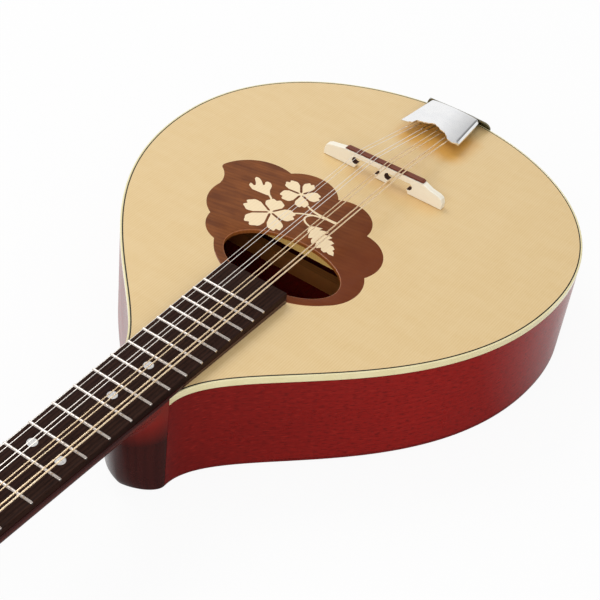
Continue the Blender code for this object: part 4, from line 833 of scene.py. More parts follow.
board = ring_solid(2, SOUNDBOARD_THICKNESS)
board = boolean(board, raised(plate_points, BODY_DEPTH - PLATE_THICKNESS, BODY_DEPTH + OVER))
through = raised(oval(BOARD_HOLE_SETBACK), BODY_DEPTH - SOUNDBOARD_THICKNESS - OVER, BODY_DEPTH + OVER)
board = boolean(board, through)
soundboard = finish_piece("spruce_soundboard", board, SPRUCE, replaces=("soundboard",))
colour_hole_edge_and_rim(soundboard, 0.5, 1.05)

plate = raised(plate_points, BODY_DEPTH - PLATE_THICKNESS, BODY_DEPTH)
plate = boolean(plate, raised(oval(), BODY_DEPTH - PLATE_THICKNESS - OVER, BODY_DEPTH + OVER))
rim = [e for e in plate.edges
       if all(abs(v.co.z - BODY_DEPTH) < 1e-5 for v in e.verts) and len(e.link_faces) == 2
       and e.calc_face_angle(0) > 1 and from_hole(e.verts[0].co) < RIM_REACH]
rounded(plate, rim, HOLE_EASE)
hole_plate = finish_piece("cloud_plate", plate, ROSEWOOD, replaces=("soundhole_plate",))
# Painted highlight: the plate's rounded rim takes a lighter, shinier orange-brown than the rosewood.
colour_hole_edge_and_rim(hole_plate, 0.97, 1.03)
print("rounded rim edges:", len(rim))

# %% Patch under the hole
RING_WIDTH = 0.007
RING_SETBACK = 0.0040
STRIP_FACE_Y = HOLE_CENTRE.y + HOLE_HALF_WIDTH + 0.0016
STRIP_WIDTH = 0.0044
STRIP_HALF_LENGTH = 0.034
STRIP_LOW = BODY_DEPTH - 0.0100
ring_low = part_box("soundhole_ring")[0].z

ring = raised(oval(RING_WIDTH), ring_low, BODY_DEPTH - SOUNDBOARD_THICKNESS)
ring = boolean(ring, raised(oval(RING_SETBACK), ring_low - OVER, BODY_DEPTH))
strip = raised(oblong(HOLE_CENTRE.x, STRIP_HALF_LENGTH, STRIP_FACE_Y, STRIP_FACE_Y + STRIP_WIDTH),
               STRIP_LOW, BODY_DEPTH - SOUNDBOARD_THICKNESS)
ring = boolean(ring, strip, "UNION")
finish_piece("hole_ring", ring, RING_SPRUCE, replaces=("soundhole_ring",))
print("strip seen in the hole: %.1f mm deep" % ((BODY_DEPTH - STRIP_LOW) * 1000))

# %% [markdown]
# ## Blossoms, bud, leaf and stems
#
# The inlay is a spray of five-petalled blossoms in pale maple. Real inlay is cut from thin
# sheet and let in flush. Petals are wedges of a circle with a lobed tip, so one function draws any
# blossom from its centre and the turn and reach of each petal. The leaf is a saw-edged oval along
# a line, and stems are ribbons along a smooth path.

# %% Petals
INLAY_LIFT = 0.00005
INLAY_TOP = BODY_DEPTH + INLAY_LIFT
INLAY_DEPTH = 0.0004
PETAL_STEPS = 26
PETAL_GAP = 0.0017
HUB = 0.0017
SHOULDER = 0.45
TIP_NOTCH = 0.085
TIP_NOTCH_WIDTH = 0.065
RIPPLE = 0.018
HUB_NOTCH = HUB * 0.72
PETAL_ROOT = HUB + 0.0009
LARGE_BLOSSOM = (Vector((-0.0377, -0.0834)),
                 ((62, 0.0146), (154, 0.0192), (222, 0.0204), (290, 0.0196), (345, 0.0166)))
SMALL_BLOSSOM = (Vector((-0.0336, -0.0536)),
                 ((65, 0.0146), (125, 0.0164), (187, 0.0144), (272, 0.0142), (341, 0.0132)))


def petal_radius(share, reach):
    """How far a petal reaches between its two gaps: round shoulders and a notched tip."""
    notch = TIP_NOTCH * exp(-((share - 0.5) / TIP_NOTCH_WIDTH) ** 2)
    return reach * (0.48 + 0.53 * sin(pi * share) ** SHOULDER - notch - RIPPLE * cos(8 * pi * share))


def facing(turn):
    return Vector((cos(turn), sin(turn)))


def blossom_outline(centre, petals):
    """Five petals round a hub, each from its root to its tip and back."""
    points = []
    for i, (start, reach) in enumerate(petals):
        end = petals[(i + 1) % len(petals)][0] + (360 if i == len(petals) - 1 else 0)
        points.append(centre + HUB_NOTCH * facing(radians(start)))
        for k in range(PETAL_STEPS + 1):
            share = k / PETAL_STEPS
            radius = petal_radius(min(max(share, 0.02), 0.98), reach)
            inset = asin(PETAL_GAP / 2 / radius)
            turn = radians(start) + inset + (radians(end - start) - 2 * inset) * share
            outer = centre + radius * facing(turn)
            root_turn = radians(start if k == 0 else end)
            root_turn += (1 if k == 0 else -1) * asin(PETAL_GAP / 2 / PETAL_ROOT)
            root = centre + PETAL_ROOT * facing(root_turn)
            points += [root, outer] if k == 0 else [outer, root] if k == PETAL_STEPS else [outer]
    return [(p.x, p.y) for p in points]


def inlaid(name, bm, node):
    """A sheet of inlay set into the plate, a hair proud of it."""
    return finish_piece(name, thicken(bm, -INLAY_DEPTH), MAPLE_INLAY, replaces=(node,))


for name, blossom in (("large", LARGE_BLOSSOM), ("small", SMALL_BLOSSOM)):
    inlaid("blossom_" + name, flat_sheet(blossom_outline(*blossom), INLAY_TOP), "inlay_%s_blossom" % name)
print("petals:", len(LARGE_BLOSSOM[1]) + len(SMALL_BLOSSOM[1]))

# %% Bud and leaf
BUD = ((-0.0485, -0.0686), (-0.0500, -0.0672), (-0.0520, -0.0645), (-0.0538, -0.0596), (-0.0562, -0.0574),
       (-0.0592, -0.0574), (-0.0597, -0.0594), (-0.0582, -0.0616), (-0.0588, -0.0630), (-0.0622, -0.0598),
       (-0.0656, -0.0580), (-0.0679, -0.0583), (-0.0677, -0.0604), (-0.0642, -0.0638), (-0.0626, -0.0664),
       (-0.0634, -0.0673), (-0.0667, -0.0660), (-0.0664, -0.0690), (-0.0618, -0.0714), (-0.0560, -0.0708),
       (-0.0500, -0.0700))
LEAF_BASE = Vector((-0.0098, -0.0782))
LEAF_TIP = Vector((0.0195, -0.0932))
LEAF_HALF_WIDTH = 0.0084
LEAF_TEETH = 6
BUD_ROUND = 0.0007
LEAF_ROUND = 0.0003


def rounded_sheet(outline, offset):
    """A flat sheet whose corners are rounded by a vertex bevel."""
    bm = flat_sheet(outline, INLAY_TOP)
    rounded(bm, list(bm.verts), offset, affect="VERTICES")
    return bm


def leaf_outline():
    """Teeth lean towards the tip; each starts in a notch cut back to the one before."""
    along = LEAF_TIP - LEAF_BASE
    across = Vector((-along.y, along.x)).normalized()
    sides = {1: [], -1: []}
    for side, fullness, middle in ((1, 1.0, 0.70), (-1, 0.82, 0.95)):
        for i in range(LEAF_TEETH):
            for share, swell in (((i + 0.10) / LEAF_TEETH, 0.58), ((i + 0.45) / LEAF_TEETH, 0.88),
                                 ((i + 0.98) / LEAF_TEETH, 1.06)):
                width = LEAF_HALF_WIDTH * fullness * swell * max(0, sin(pi * share ** middle)) ** 0.8
                sides[side].append(LEAF_BASE + along * share + across * width * side)
    loop = [LEAF_BASE] + sides[-1][:-1] + [LEAF_TIP] + sides[1][-2::-1]
    return [(p.x, p.y) for p in loop]


inlaid("flower_bud", rounded_sheet(BUD, BUD_ROUND), "inlay_bud")
inlaid("saw_edged_leaf", rounded_sheet(leaf_outline(), LEAF_ROUND), "inlay_leaf")
print("leaf length %.1f mm" % ((LEAF_TIP - LEAF_BASE).length * 1000))

# %% Stems
STEM_TOP = BODY_DEPTH + INLAY_LIFT * 0.4
STEM_LOW = BODY_DEPTH - INLAY_DEPTH * 0.9
STEMS = (
    (((-0.0228, -0.0610), (-0.0185, -0.0640), (-0.0095, -0.0646), (0.0022, -0.0638)), (0.0012, 0.0025)),
    (((-0.0268, -0.0754), (-0.0215, -0.0700), (-0.0140, -0.0656), (-0.0055, -0.0648)), (0.0013, 0.0016)),
    (((-0.0125, -0.0660), (-0.0188, -0.0690), (-0.0196, -0.0760), (-0.0098, -0.0782)), (0.0014, 0.0013)),
    (((-0.0492, -0.0690), (-0.0476, -0.0698), (-0.0460, -0.0709), (-0.0446, -0.0728)), (0.0014, 0.0013)),
)
STEM_STEPS = 16


def stem(path, widths):
    """A ribbon along a Bezier path, from one width to another, raised to the inlay's depth."""
    spots = interpolate_bezier(*[(x, y, 0) for x, y in path], STEM_STEPS)
    one, other = [], []
    for i, spot in enumerate(spots):
        ahead = spots[min(i + 1, STEM_STEPS - 1)] - spots[max(i - 1, 0)]
        side = Vector((-ahead.y, ahead.x)).normalized()
        half = (widths[0] + (widths[1] - widths[0]) * i / (STEM_STEPS - 1)) / 2
        one.append((spot.x + side.x * half, spot.y + side.y * half))
        other.append((spot.x - side.x * half, spot.y - side.y * half))
    return raised(one + other[::-1], STEM_LOW, STEM_TOP)


stems = stem(*STEMS[0])
for branch in STEMS[1:]:
    stems = boolean(stems, stem(*branch), "UNION")
finish_piece("flower_stems", stems, MAPLE_INLAY, replaces=("inlay_stem",))
print("stems:", len(STEMS))

# %% [markdown]
# ## Ribs and back
#
# The ribs are thin boards bent over a hot iron, so their grain follows the bend. The outline's
# edges are extruded to the rib's height and given a wall, and a UV map carries the distance along
# the rib, which lets the timber's grain run round the body and not straight through it.

# %% Ribs
RIB_THICKNESS = 0.002
JOINT_LINE = 0.00008

lengths, travelled = [], 0.0
for before, here in zip([half_outline[0]] + half_outline, half_outline):
    travelled += (Vector(here) - Vector(before)).length
    lengths.append(travelled)
finder = KDTree(len(half_outline))
for i, (x, y) in enumerate(half_outline):
    finder.insert((x, y, 0), i)
finder.balance()


def rib(side):
    """One rib as a wall along half of the outline, with its grain map."""
    bm = bmesh.new()
    chain = [bm.verts.new((side * x, y, BACK_THICKNESS + JOINT_LINE)) for x, y in half_outline]
    lines = [bm.edges.new(pair) for pair in zip(chain, chain[1:])]
    height = BODY_DEPTH - BINDING_HEIGHT - BACK_THICKNESS - 2 * JOINT_LINE
    lift(bm, bmesh.ops.extrude_edge_only(bm, edges=lines)["geom"], height)
    bmesh.ops.recalc_face_normals(bm, faces=bm.faces)
    middle = bm.faces[:][0]
    middle.normal_update()
    if middle.normal.y * middle.calc_center_median().y < 0:
        bmesh.ops.reverse_faces(bm, faces=bm.faces)
    bmesh.ops.solidify(bm, geom=bm.faces[:], thickness=RIB_THICKNESS)
    layer = bm.loops.layers.uv.new("rib")
    for face in bm.faces:
        for loop in face.loops:
            place = loop.vert.co
            nearest = finder.find((abs(place.x), place.y, 0))[1]
            loop[layer].uv = (place.z, lengths[nearest] * side)
    return bm


for label, side in (("bass", 1), ("treble", -1)):
    finish_piece("rib_" + label, rib(side), RED_SIDES, replaces=("side_" + label,))
print("rib length %.0f mm" % (lengths[-1] * 1000))

# %% Back
BACK_ROUND = 0.0012

back = raised(body_outline, 0, BACK_THICKNESS)
low_rim = [e for e in back.edges if all(v.co.z < BACK_THICKNESS / 2 for v in e.verts)]
rounded(back, low_rim, BACK_ROUND, 4)
finish_piece("flat_back", back, RED_BACK, replaces=("back",))
print("back edge rounded by %.1f mm" % (BACK_ROUND * 1000))

# %% [markdown]
# ## Neck, heel and headstock
#
# The neck is carved from one piece: a rounded shaft, a heel that drops to the back, and a
# headstock tilted away from the strings. Shaft and heel are one solid, carried through slices
# that stand upright along the neck, fan round the corner and lie flat in the heel. That gives
# the hollow curve where a thumb rests, with no seam. Unions then add the thin tongue over the
# soundboard and the headstock.

# %% Fingerboard plane
SCALE_LENGTH = 0.660
NUT_Y = -SCALE_LENGTH
NUT_LENGTH = 0.005
BOARD_END_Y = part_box("fingerboard")[1].y
BOARD_THICKNESS = 0.0046
FRET_HEIGHT = 0.0011
PLANE_SLOPE = 0.0086
PLANE_AT_HEEL = BODY_DEPTH + 0.0029
BOARD_HALF_AT_OCTAVE = 0.0207
BOARD_TAPER = 0.01604
JOINT = 0.0003


def plane_height(y):
    return PLANE_AT_HEEL + (y - HEEL_Y) * PLANE_SLOPE


def board_half(y):
    return BOARD_HALF_AT_OCTAVE + BOARD_TAPER * (y + SCALE_LENGTH / 2)


# %% Neck and heel sections
NECK_DEPTH_AT_NUT = 0.0145
NECK_DEPTH_AT_HEEL = 0.0185
SECTION_POINTS = 40
SHAFT_SECTIONS = 24
FILLET_SECTIONS = 16
HEEL_SECTIONS = 22
FILLET_REACH = 0.012
HEEL_TOP_LENGTH = 0.024
HEEL_CAP_LENGTH = 0.012
HEEL_SPREAD = 0.32
CAP_EASE = 0.0012
CAP_POINT = 0.34
HEEL_SQUARENESS = 1.08
SHAFT_SQUARENESS = 0.85
TONGUE_OVERLAP = 0.004


def neck_depth(y):
    start = NUT_Y - NUT_LENGTH
    return NECK_DEPTH_AT_NUT + (NECK_DEPTH_AT_HEEL - NECK_DEPTH_AT_NUT) * (y - start) / (HEEL_Y - start)


def underside(y):
    return Vector((0, y, plane_height(y) - JOINT - neck_depth(y)))


def heel_front(z):
    """The front of the heel at a height: short at the cap, and longer towards the neck."""
    share = max(0.0, z) / (plane_height(HEEL_Y) - 0.008)
    length = HEEL_CAP_LENGTH + (HEEL_TOP_LENGTH - HEEL_CAP_LENGTH) * share ** HEEL_SPREAD
    return Vector((0, HEEL_Y - JOINT - length, z))


def neck_section(inner, outer, half, squareness):
    """A rounded slice that stands on its flat inner edge and reaches out to one point."""
    section = []
    for i in range(SECTION_POINTS + 1):
        turn = pi * i / SECTION_POINTS
        across = half * copysign(abs(cos(turn)) ** squareness[0], cos(turn))
        reach = max(0.0, sin(turn)) ** squareness[1]
        section.append(inner + (outer - inner) * reach + Vector((across, 0, 0)))
    return section


def neck_and_heel():
    """Slices from the nut: they stand upright along the shaft, fan round the fillet and lie
    flat in the heel, so that one smooth skin covers all three."""
    corner_y = heel_front(underside(HEEL_Y).z).y
    start, shaft_end = NUT_Y - NUT_LENGTH, corner_y - FILLET_REACH
    sections = []
    for i in range(SHAFT_SECTIONS):
        y = start + (shaft_end - start) * i / SHAFT_SECTIONS
        sections.append(neck_section(Vector((0, y, plane_height(y) - JOINT)), underside(y),
                                     board_half(y), (1.0, SHAFT_SQUARENESS)))
    corner = underside(corner_y)
    heel_start = heel_front(corner.z - FILLET_REACH)
    bend = interpolate_bezier(underside(shaft_end), underside(shaft_end).lerp(corner, 0.75),
                              heel_start.lerp(corner, 0.75), heel_start, FILLET_SECTIONS + 1)
    joint_top = Vector((0, HEEL_Y - JOINT, plane_height(HEEL_Y) - JOINT))
    for i, outer in enumerate(bend):
        share = i / FILLET_SECTIONS
        y = shaft_end + (joint_top.y - shaft_end) * share
        square = SHAFT_SQUARENESS + 0.23 * share
        half = board_half(y) + (HEEL_HALF_WIDTH - board_half(y)) * share
        sections.append(neck_section(Vector((0, y, plane_height(y) - JOINT)), outer, half,
                                     (1.0 + 0.08 * share, square)))
    for i in range(1, HEEL_SECTIONS + 1):
        share = i / HEEL_SECTIONS
        low = CAP_EASE + (1 - share) * (heel_start.z - CAP_EASE)
        inner = Vector((0, HEEL_Y - JOINT, CAP_EASE + (joint_top.z - CAP_EASE) * (1 - share)))
        point = HEEL_SQUARENESS + CAP_POINT * share ** 2
        sections.append(neck_section(inner, heel_front(low), HEEL_HALF_WIDTH, (point, HEEL_SQUARENESS)))
    for turn in (30, 60, 90):
        drop = CAP_EASE * sin(radians(turn))
        inset = CAP_EASE * (1 - cos(radians(turn)))
        z = CAP_EASE - drop
        outer = heel_front(CAP_EASE)
        sections.append(neck_section(Vector((0, HEEL_Y - JOINT, z)), Vector((0, outer.y + inset, z)),
                                     HEEL_HALF_WIDTH - inset,
                                     (HEEL_SQUARENESS + CAP_POINT, HEEL_SQUARENESS)))
    return carried([[tuple(point) for point in section] for section in sections])


def tongue():
    """The thin end of the neck that runs on over the soundboard, under the fingerboard."""
    low, start, end = BODY_DEPTH + JOINT, HEEL_Y - TONGUE_OVERLAP, BOARD_END_Y
    bm = raised([(board_half(start), start), (board_half(end), end),
                 (-board_half(end), end), (-board_half(start), start)], low, plane_height(start) - JOINT)
    for vert in bm.verts:
        if vert.co.z > low + 0.0005:
            vert.co.z = plane_height(vert.co.y) - JOINT
    return bm


print("heel bottom to neck: %.0f mm" % (underside(HEEL_Y).z * 1000))

# %% Headstock
HEAD_ANGLE = radians(12.5)
HEAD_LENGTH = 0.140
HEAD_THICKNESS = 0.0145
HEAD_SHOULDER = 0.032
HEAD_HALF_WIDTH = 0.0315
HEAD_TIP_HALF_WIDTH = 0.0255
HEAD_CROWN = 0.006
VENEER_THICKNESS = 0.0015
VENEER_SETBACK = 0.0008
SHOULDER_STEPS = 18

head = (Matrix.Translation((0, NUT_Y - NUT_LENGTH, plane_height(NUT_Y - NUT_LENGTH)))
        @ Matrix.Rotation(HEAD_ANGLE, 4, "X"))


def head_outline(start):
    """From the nut the paddle widens in an S, then tapers to a shallow crown."""
    side = []
    for i in range(SHOULDER_STEPS + 1):
        share = i / SHOULDER_STEPS
        ease = (1 - cos(pi * share)) / 2
        width = board_half(NUT_Y) + (HEAD_HALF_WIDTH - board_half(NUT_Y)) * ease
        side.append((width, -max(start, HEAD_SHOULDER * share)))
    for i in range(SHOULDER_STEPS + 1):
        turn = pi / 2 * i / SHOULDER_STEPS
        side.append((HEAD_TIP_HALF_WIDTH * (1 - i / SHOULDER_STEPS), -HEAD_LENGTH - HEAD_CROWN * sin(turn)))
    return side + [(-x, y) for x, y in side[-2::-1]]


POST_COUNT = 4
POST_PITCH = 0.0245
POST_START = 0.045
POST_X = 0.0210
ROW_ANGLE = radians(3.5)
POST_RADIUS = 0.0030
POST_HOLE = 0.0036


def row(side):
    """The frame of one row of tuners on the headstock's face."""
    return Matrix.Translation((side * POST_X, -POST_START, 0)) @ Matrix.Rotation(-side * ROW_ANGLE, 4, "Z")


def post_frame(number):
    """The frame of a post: 1 to 4 stand on the bass side, 5 to 8 on the treble side."""
    side = 1 if number <= POST_COUNT else -1
    return head @ row(side) @ Matrix.Translation((0, -((number - 1) % POST_COUNT) * POST_PITCH, 0))


def post_holes():
    holes = bmesh.new()
    for number in range(1, 2 * POST_COUNT + 1):
        add_to(holes, turned([(0, -0.03), (POST_HOLE, -0.03), (POST_HOLE, 0.01), (0, 0.01)], 24),
               post_frame(number))
    return holes


paddle = moved(raised(head_outline(0.0), -HEAD_THICKNESS, -VENEER_THICKNESS - JOINT), head)
neck = boolean(neck_and_heel(), tongue(), "UNION")
neck = boolean(boolean(neck, paddle, "UNION"), post_holes())
neck_piece = finish_piece("carved_neck", neck, NECK_WOOD, replaces=("neck",))

veneer = moved(raised(head_outline(VENEER_SETBACK)[1:-1], -VENEER_THICKNESS, 0), head)
veneer = boolean(veneer, post_holes())
eased(finish_piece("head_veneer", veneer, HEAD_WOOD, replaces=("headstock_veneer",)), 0.0005)
print("neck faces:", len(neck_piece.data.polygons))

# %% [markdown]
# ## Fingerboard, frets and dots
#
# A dark hardwood board tapers with the strings. Frets are T-shaped wire hammered into saw cuts
# and filed off at the ends, so each one here is an oval bar sunk to its crown, with its ends
# bevelled. Their places follow from the scale length: each fret divides what is left by the same
# ratio, twelve to the octave.

# %% Board
BOARD_EASE = 0.0006

rows = []
for y in (NUT_Y, BOARD_END_Y):
    low, high = plane_height(y), plane_height(y) + BOARD_THICKNESS
    rows.append([(board_half(y), y, low), (board_half(y), y, high),
                 (-board_half(y), y, high), (-board_half(y), y, low)])
eased(finish_piece("fingerboard_blank", carried(rows), BOARD_WOOD, replaces=("fingerboard",)), BOARD_EASE, 3)

# %% Frets
FRET_COUNT = 23
FRET_WIDTH = 0.0022
FRET_END_BEVEL = 0.0007


def fret_y(number):
    return -SCALE_LENGTH * 2 ** (-number / 12)


frets = bmesh.new()
for number in range(1, FRET_COUNT + 1):
    y = fret_y(number)
    bar = bmesh.new()
    bmesh.ops.create_cone(bar, cap_ends=True, segments=16, radius1=1, radius2=1, depth=1)
    ends = [e for e in bar.edges if abs(e.verts[0].co.z - e.verts[1].co.z) < 1e-6]
    moved(bar, Matrix.Diagonal((FRET_HEIGHT, FRET_WIDTH / 2, 2 * board_half(y), 1)))
    rounded(bar, ends, FRET_END_BEVEL)
    sunk = Matrix.Translation((0, y, plane_height(y) + BOARD_THICKNESS))
    add_to(frets, bar, sunk @ Matrix.Rotation(radians(90), 4, "Y"))
finish_piece("fret_wire", frets, FRET_METAL)
print("fret 12 at %.1f mm from the nut" % ((fret_y(12) - NUT_Y) * 1000))

# %% Dots
DOT_RADIUS = 0.0031
DOT_LIFT = 0.00004
DOT_DEPTH = 0.001
SINGLE_DOTS = (3, 5, 7, 10, 15, 17)
OCTAVE_DOT_X = (-0.009, 0.011)

dots = bmesh.new()
places = [(0.0, (fret_y(n) + fret_y(n - 1)) / 2) for n in SINGLE_DOTS]
places += [(x, (fret_y(12) + fret_y(11)) / 2) for x in OCTAVE_DOT_X]
for x, y in places:
    disc = bmesh.new()
    bmesh.ops.create_circle(disc, cap_ends=True, segments=40, radius=DOT_RADIUS)
    place = Matrix.Translation((x, y, plane_height(y) + BOARD_THICKNESS + DOT_LIFT))
    add_to(dots, thicken(disc, -DOT_DEPTH), place)
finish_piece("pearl_dots", dots, PEARL)
print("dots:", len(places))

# %% [markdown]
# ## Nut, bridge and saddle strip
#
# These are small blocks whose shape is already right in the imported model, down to the notches and
# the two arches that leave the bridge standing on three feet. A worked edge is never a sharp one,
# though, so each takes the node's own shape with clean faces and a small bevel.

# %% Nut and bridge
softened("bone_nut_block", "nut", BONE, 0.00035)


def darkened(tree, colour, grain, vector):
    """Faces inside the bites: dark brown that goes unevenly to almost black."""
    return tinted(tree, colour, grain["Figure"], 0.6, screen(30, 17, 12))


BITE_WOOD = make_timber("dark_bite_wood", (86, 46, 28), (54, 28, 18), (68, 36, 22),
                        0.0012, 0.002, 2.0, (0.3, 0.4, 0.4), 0.7, finish=darkened)
ARCHES = ((-0.0240, -0.0065), (0.0028, 0.0198))
BITE_HEIGHT = 0.0060
BITE_RADIUS = 0.0026
bridge = softened("maple_bridge", "bridge", MAPLE_BRIDGE, 0.0004, 3)
bridge.data.materials.append(BITE_WOOD)
bridge_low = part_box("bridge")[0]
for face in bridge.data.polygons:
    for bite_x in (x for arch in ARCHES for x in arch):
        away_x, away_z = face.center.x - bite_x, face.center.z - bridge_low.z - BITE_HEIGHT
        if hypot(away_x, away_z) < BITE_RADIUS * 1.1 and abs(face.normal.y) < 0.5:
            face.material_index = 1
softened("saddle_blade", "saddle_strip", SADDLE_WOOD, 0.0003)
print("faces in the bites:", sum(1 for face in bridge.data.polygons if face.material_index))

# %% [markdown]
# ## Tailpiece
#
# A pressed base is bent over the tail's edge, with a hook for each string, and a polished cover
# drops over it. The cover is sheet metal with turned-down sides and a fretted front. Its
# cross-section is carried from front to back as one bent sheet, and the front is then cut to its
# wavy line, as a press tool would do.

# %% Base and end pin
TAILPIECE_X = -0.0030
TRAY_FRONT_Y = 0.0850
WASTE_HALF = 0.03
WASTE_TOP = BODY_DEPTH + 0.02

tray_waste = raised(oblong(TAILPIECE_X, WASTE_HALF, TRAY_FRONT_Y - 0.015, TRAY_FRONT_Y),
                    BODY_DEPTH - 0.001, WASTE_TOP)
softened("tail_bracket", "tailpiece_base", BRACKET_METAL, 0.0003, waste=tray_waste)
PIN_RADIUS = 0.0034
PIN_HEAD = 0.0065
PIN_HEAD_LENGTH = 0.011
pin_low, pin_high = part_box("end_pin")
pin_length = pin_high.y - pin_low.y
shank = pin_high.y - PIN_HEAD_LENGTH - pin_low.y
pin = turned([(0, 0), (PIN_RADIUS, 0), (PIN_RADIUS, shank), (PIN_HEAD * 0.84, shank),
              (PIN_HEAD * 0.80, shank + 0.0010), (PIN_HEAD * 0.60, shank + 0.0038),
              (PIN_HEAD * 0.82, pin_length - 0.0044), (PIN_HEAD, pin_length - 0.0026),
              (PIN_HEAD * 0.92, pin_length - 0.0010), (PIN_HEAD * 0.60, pin_length), (0, pin_length)],
             40, (0, 1, 0))
bmesh.ops.translate(pin, verts=pin.verts, vec=(0, pin_low.y, (pin_low.z + pin_high.z) / 2))
finish_piece("turned_end_pin", pin, EBONY, replaces=("end_pin",))
print("end pin %.0f mm long" % (pin_length * 1000))

# %% Cover
cover_low, cover_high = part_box("tailpiece_cover")
COVER_BACK_Y = cover_high.y
COVER_FRONT_Y = cover_low.y
COVER_FRONT_HEIGHT = BODY_DEPTH + 0.0088
COVER_BACK_HEIGHT = BODY_DEPTH + 0.0090
COVER_FRONT_HALF = 0.0240
COVER_BACK_HALF = 0.0205
COVER_LIP_OUT = 0.0014
COVER_LIP_DOWN = 0.0016
COVER_SKIRT = 0.0019
COVER_CROWN = 0.0012
COVER_ROLL = 0.0032
LIP_AT_FRONT = 0.62
LIP_GROWS_OVER = 0.016
COVER_THICKNESS = 0.0008
COVER_SECTIONS = 26
LID_STEPS = 12
BEND_STEPS = 4
SCALLOP = ((-1.0, 0.0014), (-0.90, 0.0), (-0.80, 0.0003), (-0.62, 0.0024), (-0.56, 0.0066), (-0.40, 0.0073),
           (-0.24, 0.0086), (-0.06, 0.0110), (0.08, 0.0098), (0.25, 0.0075), (0.38, 0.0070), (0.50, 0.0048),
           (0.64, 0.0013), (0.80, 0.0006), (0.90, 0.0018), (1.0, 0.0044))


def lid_curve(half, high, fullness):
    """Half of the sheet's outer line: a crowned lid, a bend, a lip that leans out, a skirt."""
    lid_half = half - COVER_LIP_OUT
    lip_down, skirt = COVER_LIP_DOWN * fullness, COVER_SKIRT * fullness
    points = []
    for k in range(LID_STEPS):
        x = lid_half * k / LID_STEPS
        points.append((x, high + COVER_CROWN * (1 - (x / lid_half) ** 2)))
    edge, knee, foot = Vector((lid_half, high)), Vector((half, high - lip_down)), high - lip_down
    ahead = Vector((lid_half - points[-1][0], high - points[-1][1])).normalized()
    dip = edge + ahead * 0.0002 + Vector((0.0001, -0.0005))
    for point in interpolate_bezier(edge.to_3d(), (edge + ahead * 0.0004).to_3d(), dip.to_3d(),
                                    edge.lerp(knee, 0.34).to_3d(), BEND_STEPS):
        points.append((point.x, point.y))
    points += [(edge.lerp(knee, 0.90).x, edge.lerp(knee, 0.90).y), (knee.x, knee.y - 0.0003)]
    return points + [(knee.x, foot - skirt)]


def cover_section(y):
    """The bent sheet at one place: up one side, across the lid and down the other."""
    share = (y - COVER_FRONT_Y) / (COVER_BACK_Y - COVER_FRONT_Y)
    half = COVER_FRONT_HALF + (COVER_BACK_HALF - COVER_FRONT_HALF) * share
    high = COVER_FRONT_HEIGHT + (COVER_BACK_HEIGHT - COVER_FRONT_HEIGHT) * share
    from_end = max(0.0, y - (COVER_BACK_Y - COVER_ROLL)) / COVER_ROLL
    high -= COVER_ROLL * 0.16 * (1 - sqrt(1 - min(from_end, 1.0) ** 2))
    fullness = LIP_AT_FRONT + (1 - LIP_AT_FRONT) * min(1.0, (y - COVER_FRONT_Y) / LIP_GROWS_OVER)
    outer = lid_curve(half, high, fullness)
    inner = lid_curve(half - COVER_THICKNESS, high - COVER_THICKNESS, fullness)
    inner[-1] = (inner[-1][0], outer[-1][1])
    loop = [(-x, z) for x, z in outer[:0:-1]] + outer + inner[::-1] + [(-x, z) for x, z in inner[1:]]
    return [(TAILPIECE_X + x, y, z) for x, z in loop]


sections = []
for i in range(COVER_SECTIONS + 1):
    share = i / COVER_SECTIONS
    sections.append(cover_section(COVER_FRONT_Y + (COVER_BACK_Y - COVER_FRONT_Y) * (1 - (1 - share) ** 1.6)))
cover = carried(sections)
front = []
for (one, back_one), (two, back_two) in zip(SCALLOP, SCALLOP[1:]):
    for k in range(4):
        share = k / 4
        ease = (1 - cos(pi * share)) / 2
        front.append((TAILPIECE_X + (one + (two - one) * share) * COVER_FRONT_HALF,
                      COVER_FRONT_Y + back_one + (back_two - back_one) * ease))
front.append((TAILPIECE_X + COVER_FRONT_HALF, COVER_FRONT_Y + SCALLOP[-1][1]))
west, east, near_y = TAILPIECE_X - WASTE_HALF, TAILPIECE_X + WASTE_HALF, COVER_FRONT_Y - 0.01
waste = raised([(west, front[0][1])] + front + [(east, front[-1][1]), (east, near_y), (west, near_y)],
               BODY_DEPTH, WASTE_TOP)
cover = boolean(cover, waste)
eased(finish_piece("scalloped_cover", cover, NICKEL, "tailpiece_cover", ("tailpiece_cover",)), 0.00022, 2, 40)
print("cover points along the front:", len(front))

# %% [markdown]
# ## Tuners
#
# Each tuner is a worm on the button's shaft that turns a gear on the string post, fourteen turns
# of the button to one of the post. The worm's thread is a spin with a lead: bmesh's spin operator
# moves as it turns, which is all a screw is. Posts and buttons are drawn in their own frame and
# then set on their places of the headstock.

# %% Post and gear
PLATE_FACE = -HEAD_THICKNESS - JOINT - 0.0012
WORM_Z = PLATE_FACE - 0.0034
WORM_OFFSET = 0.00785
GEAR_TEETH = 14
GEAR_MODULE = 0.0007
GEAR_THICKNESS = 0.0030
GEAR_RADIUS = GEAR_TEETH * GEAR_MODULE / 2
GEAR_TIP = 0.00045
GEAR_ROOT = 0.00070
POST_TOP = 0.0120
STRING_HOLE_Z = 0.0098


def gear():
    """Flat-topped teeth round the pitch circle, slanted to follow the worm's lead."""
    step = 2 * pi / GEAR_TEETH
    lead = GEAR_MODULE / (2 * (WORM_OFFSET - GEAR_RADIUS))
    rows = []
    for z, slant in ((-0.5, -0.5), (0.5, 0.5)):
        ring = []
        for tooth in range(GEAR_TEETH):
            middle = pi / 2 + (tooth + 0.5) * step + slant * lead * GEAR_THICKNESS / GEAR_RADIUS
            for share, radius in ((-0.27, GEAR_RADIUS - GEAR_ROOT), (-0.15, GEAR_RADIUS + GEAR_TIP),
                                  (0.15, GEAR_RADIUS + GEAR_TIP), (0.27, GEAR_RADIUS - GEAR_ROOT)):
                turn = middle + share * step
                ring.append((radius * cos(turn), radius * sin(turn), WORM_Z + z * GEAR_THICKNESS))
        rows.append(ring)
    return carried(rows)


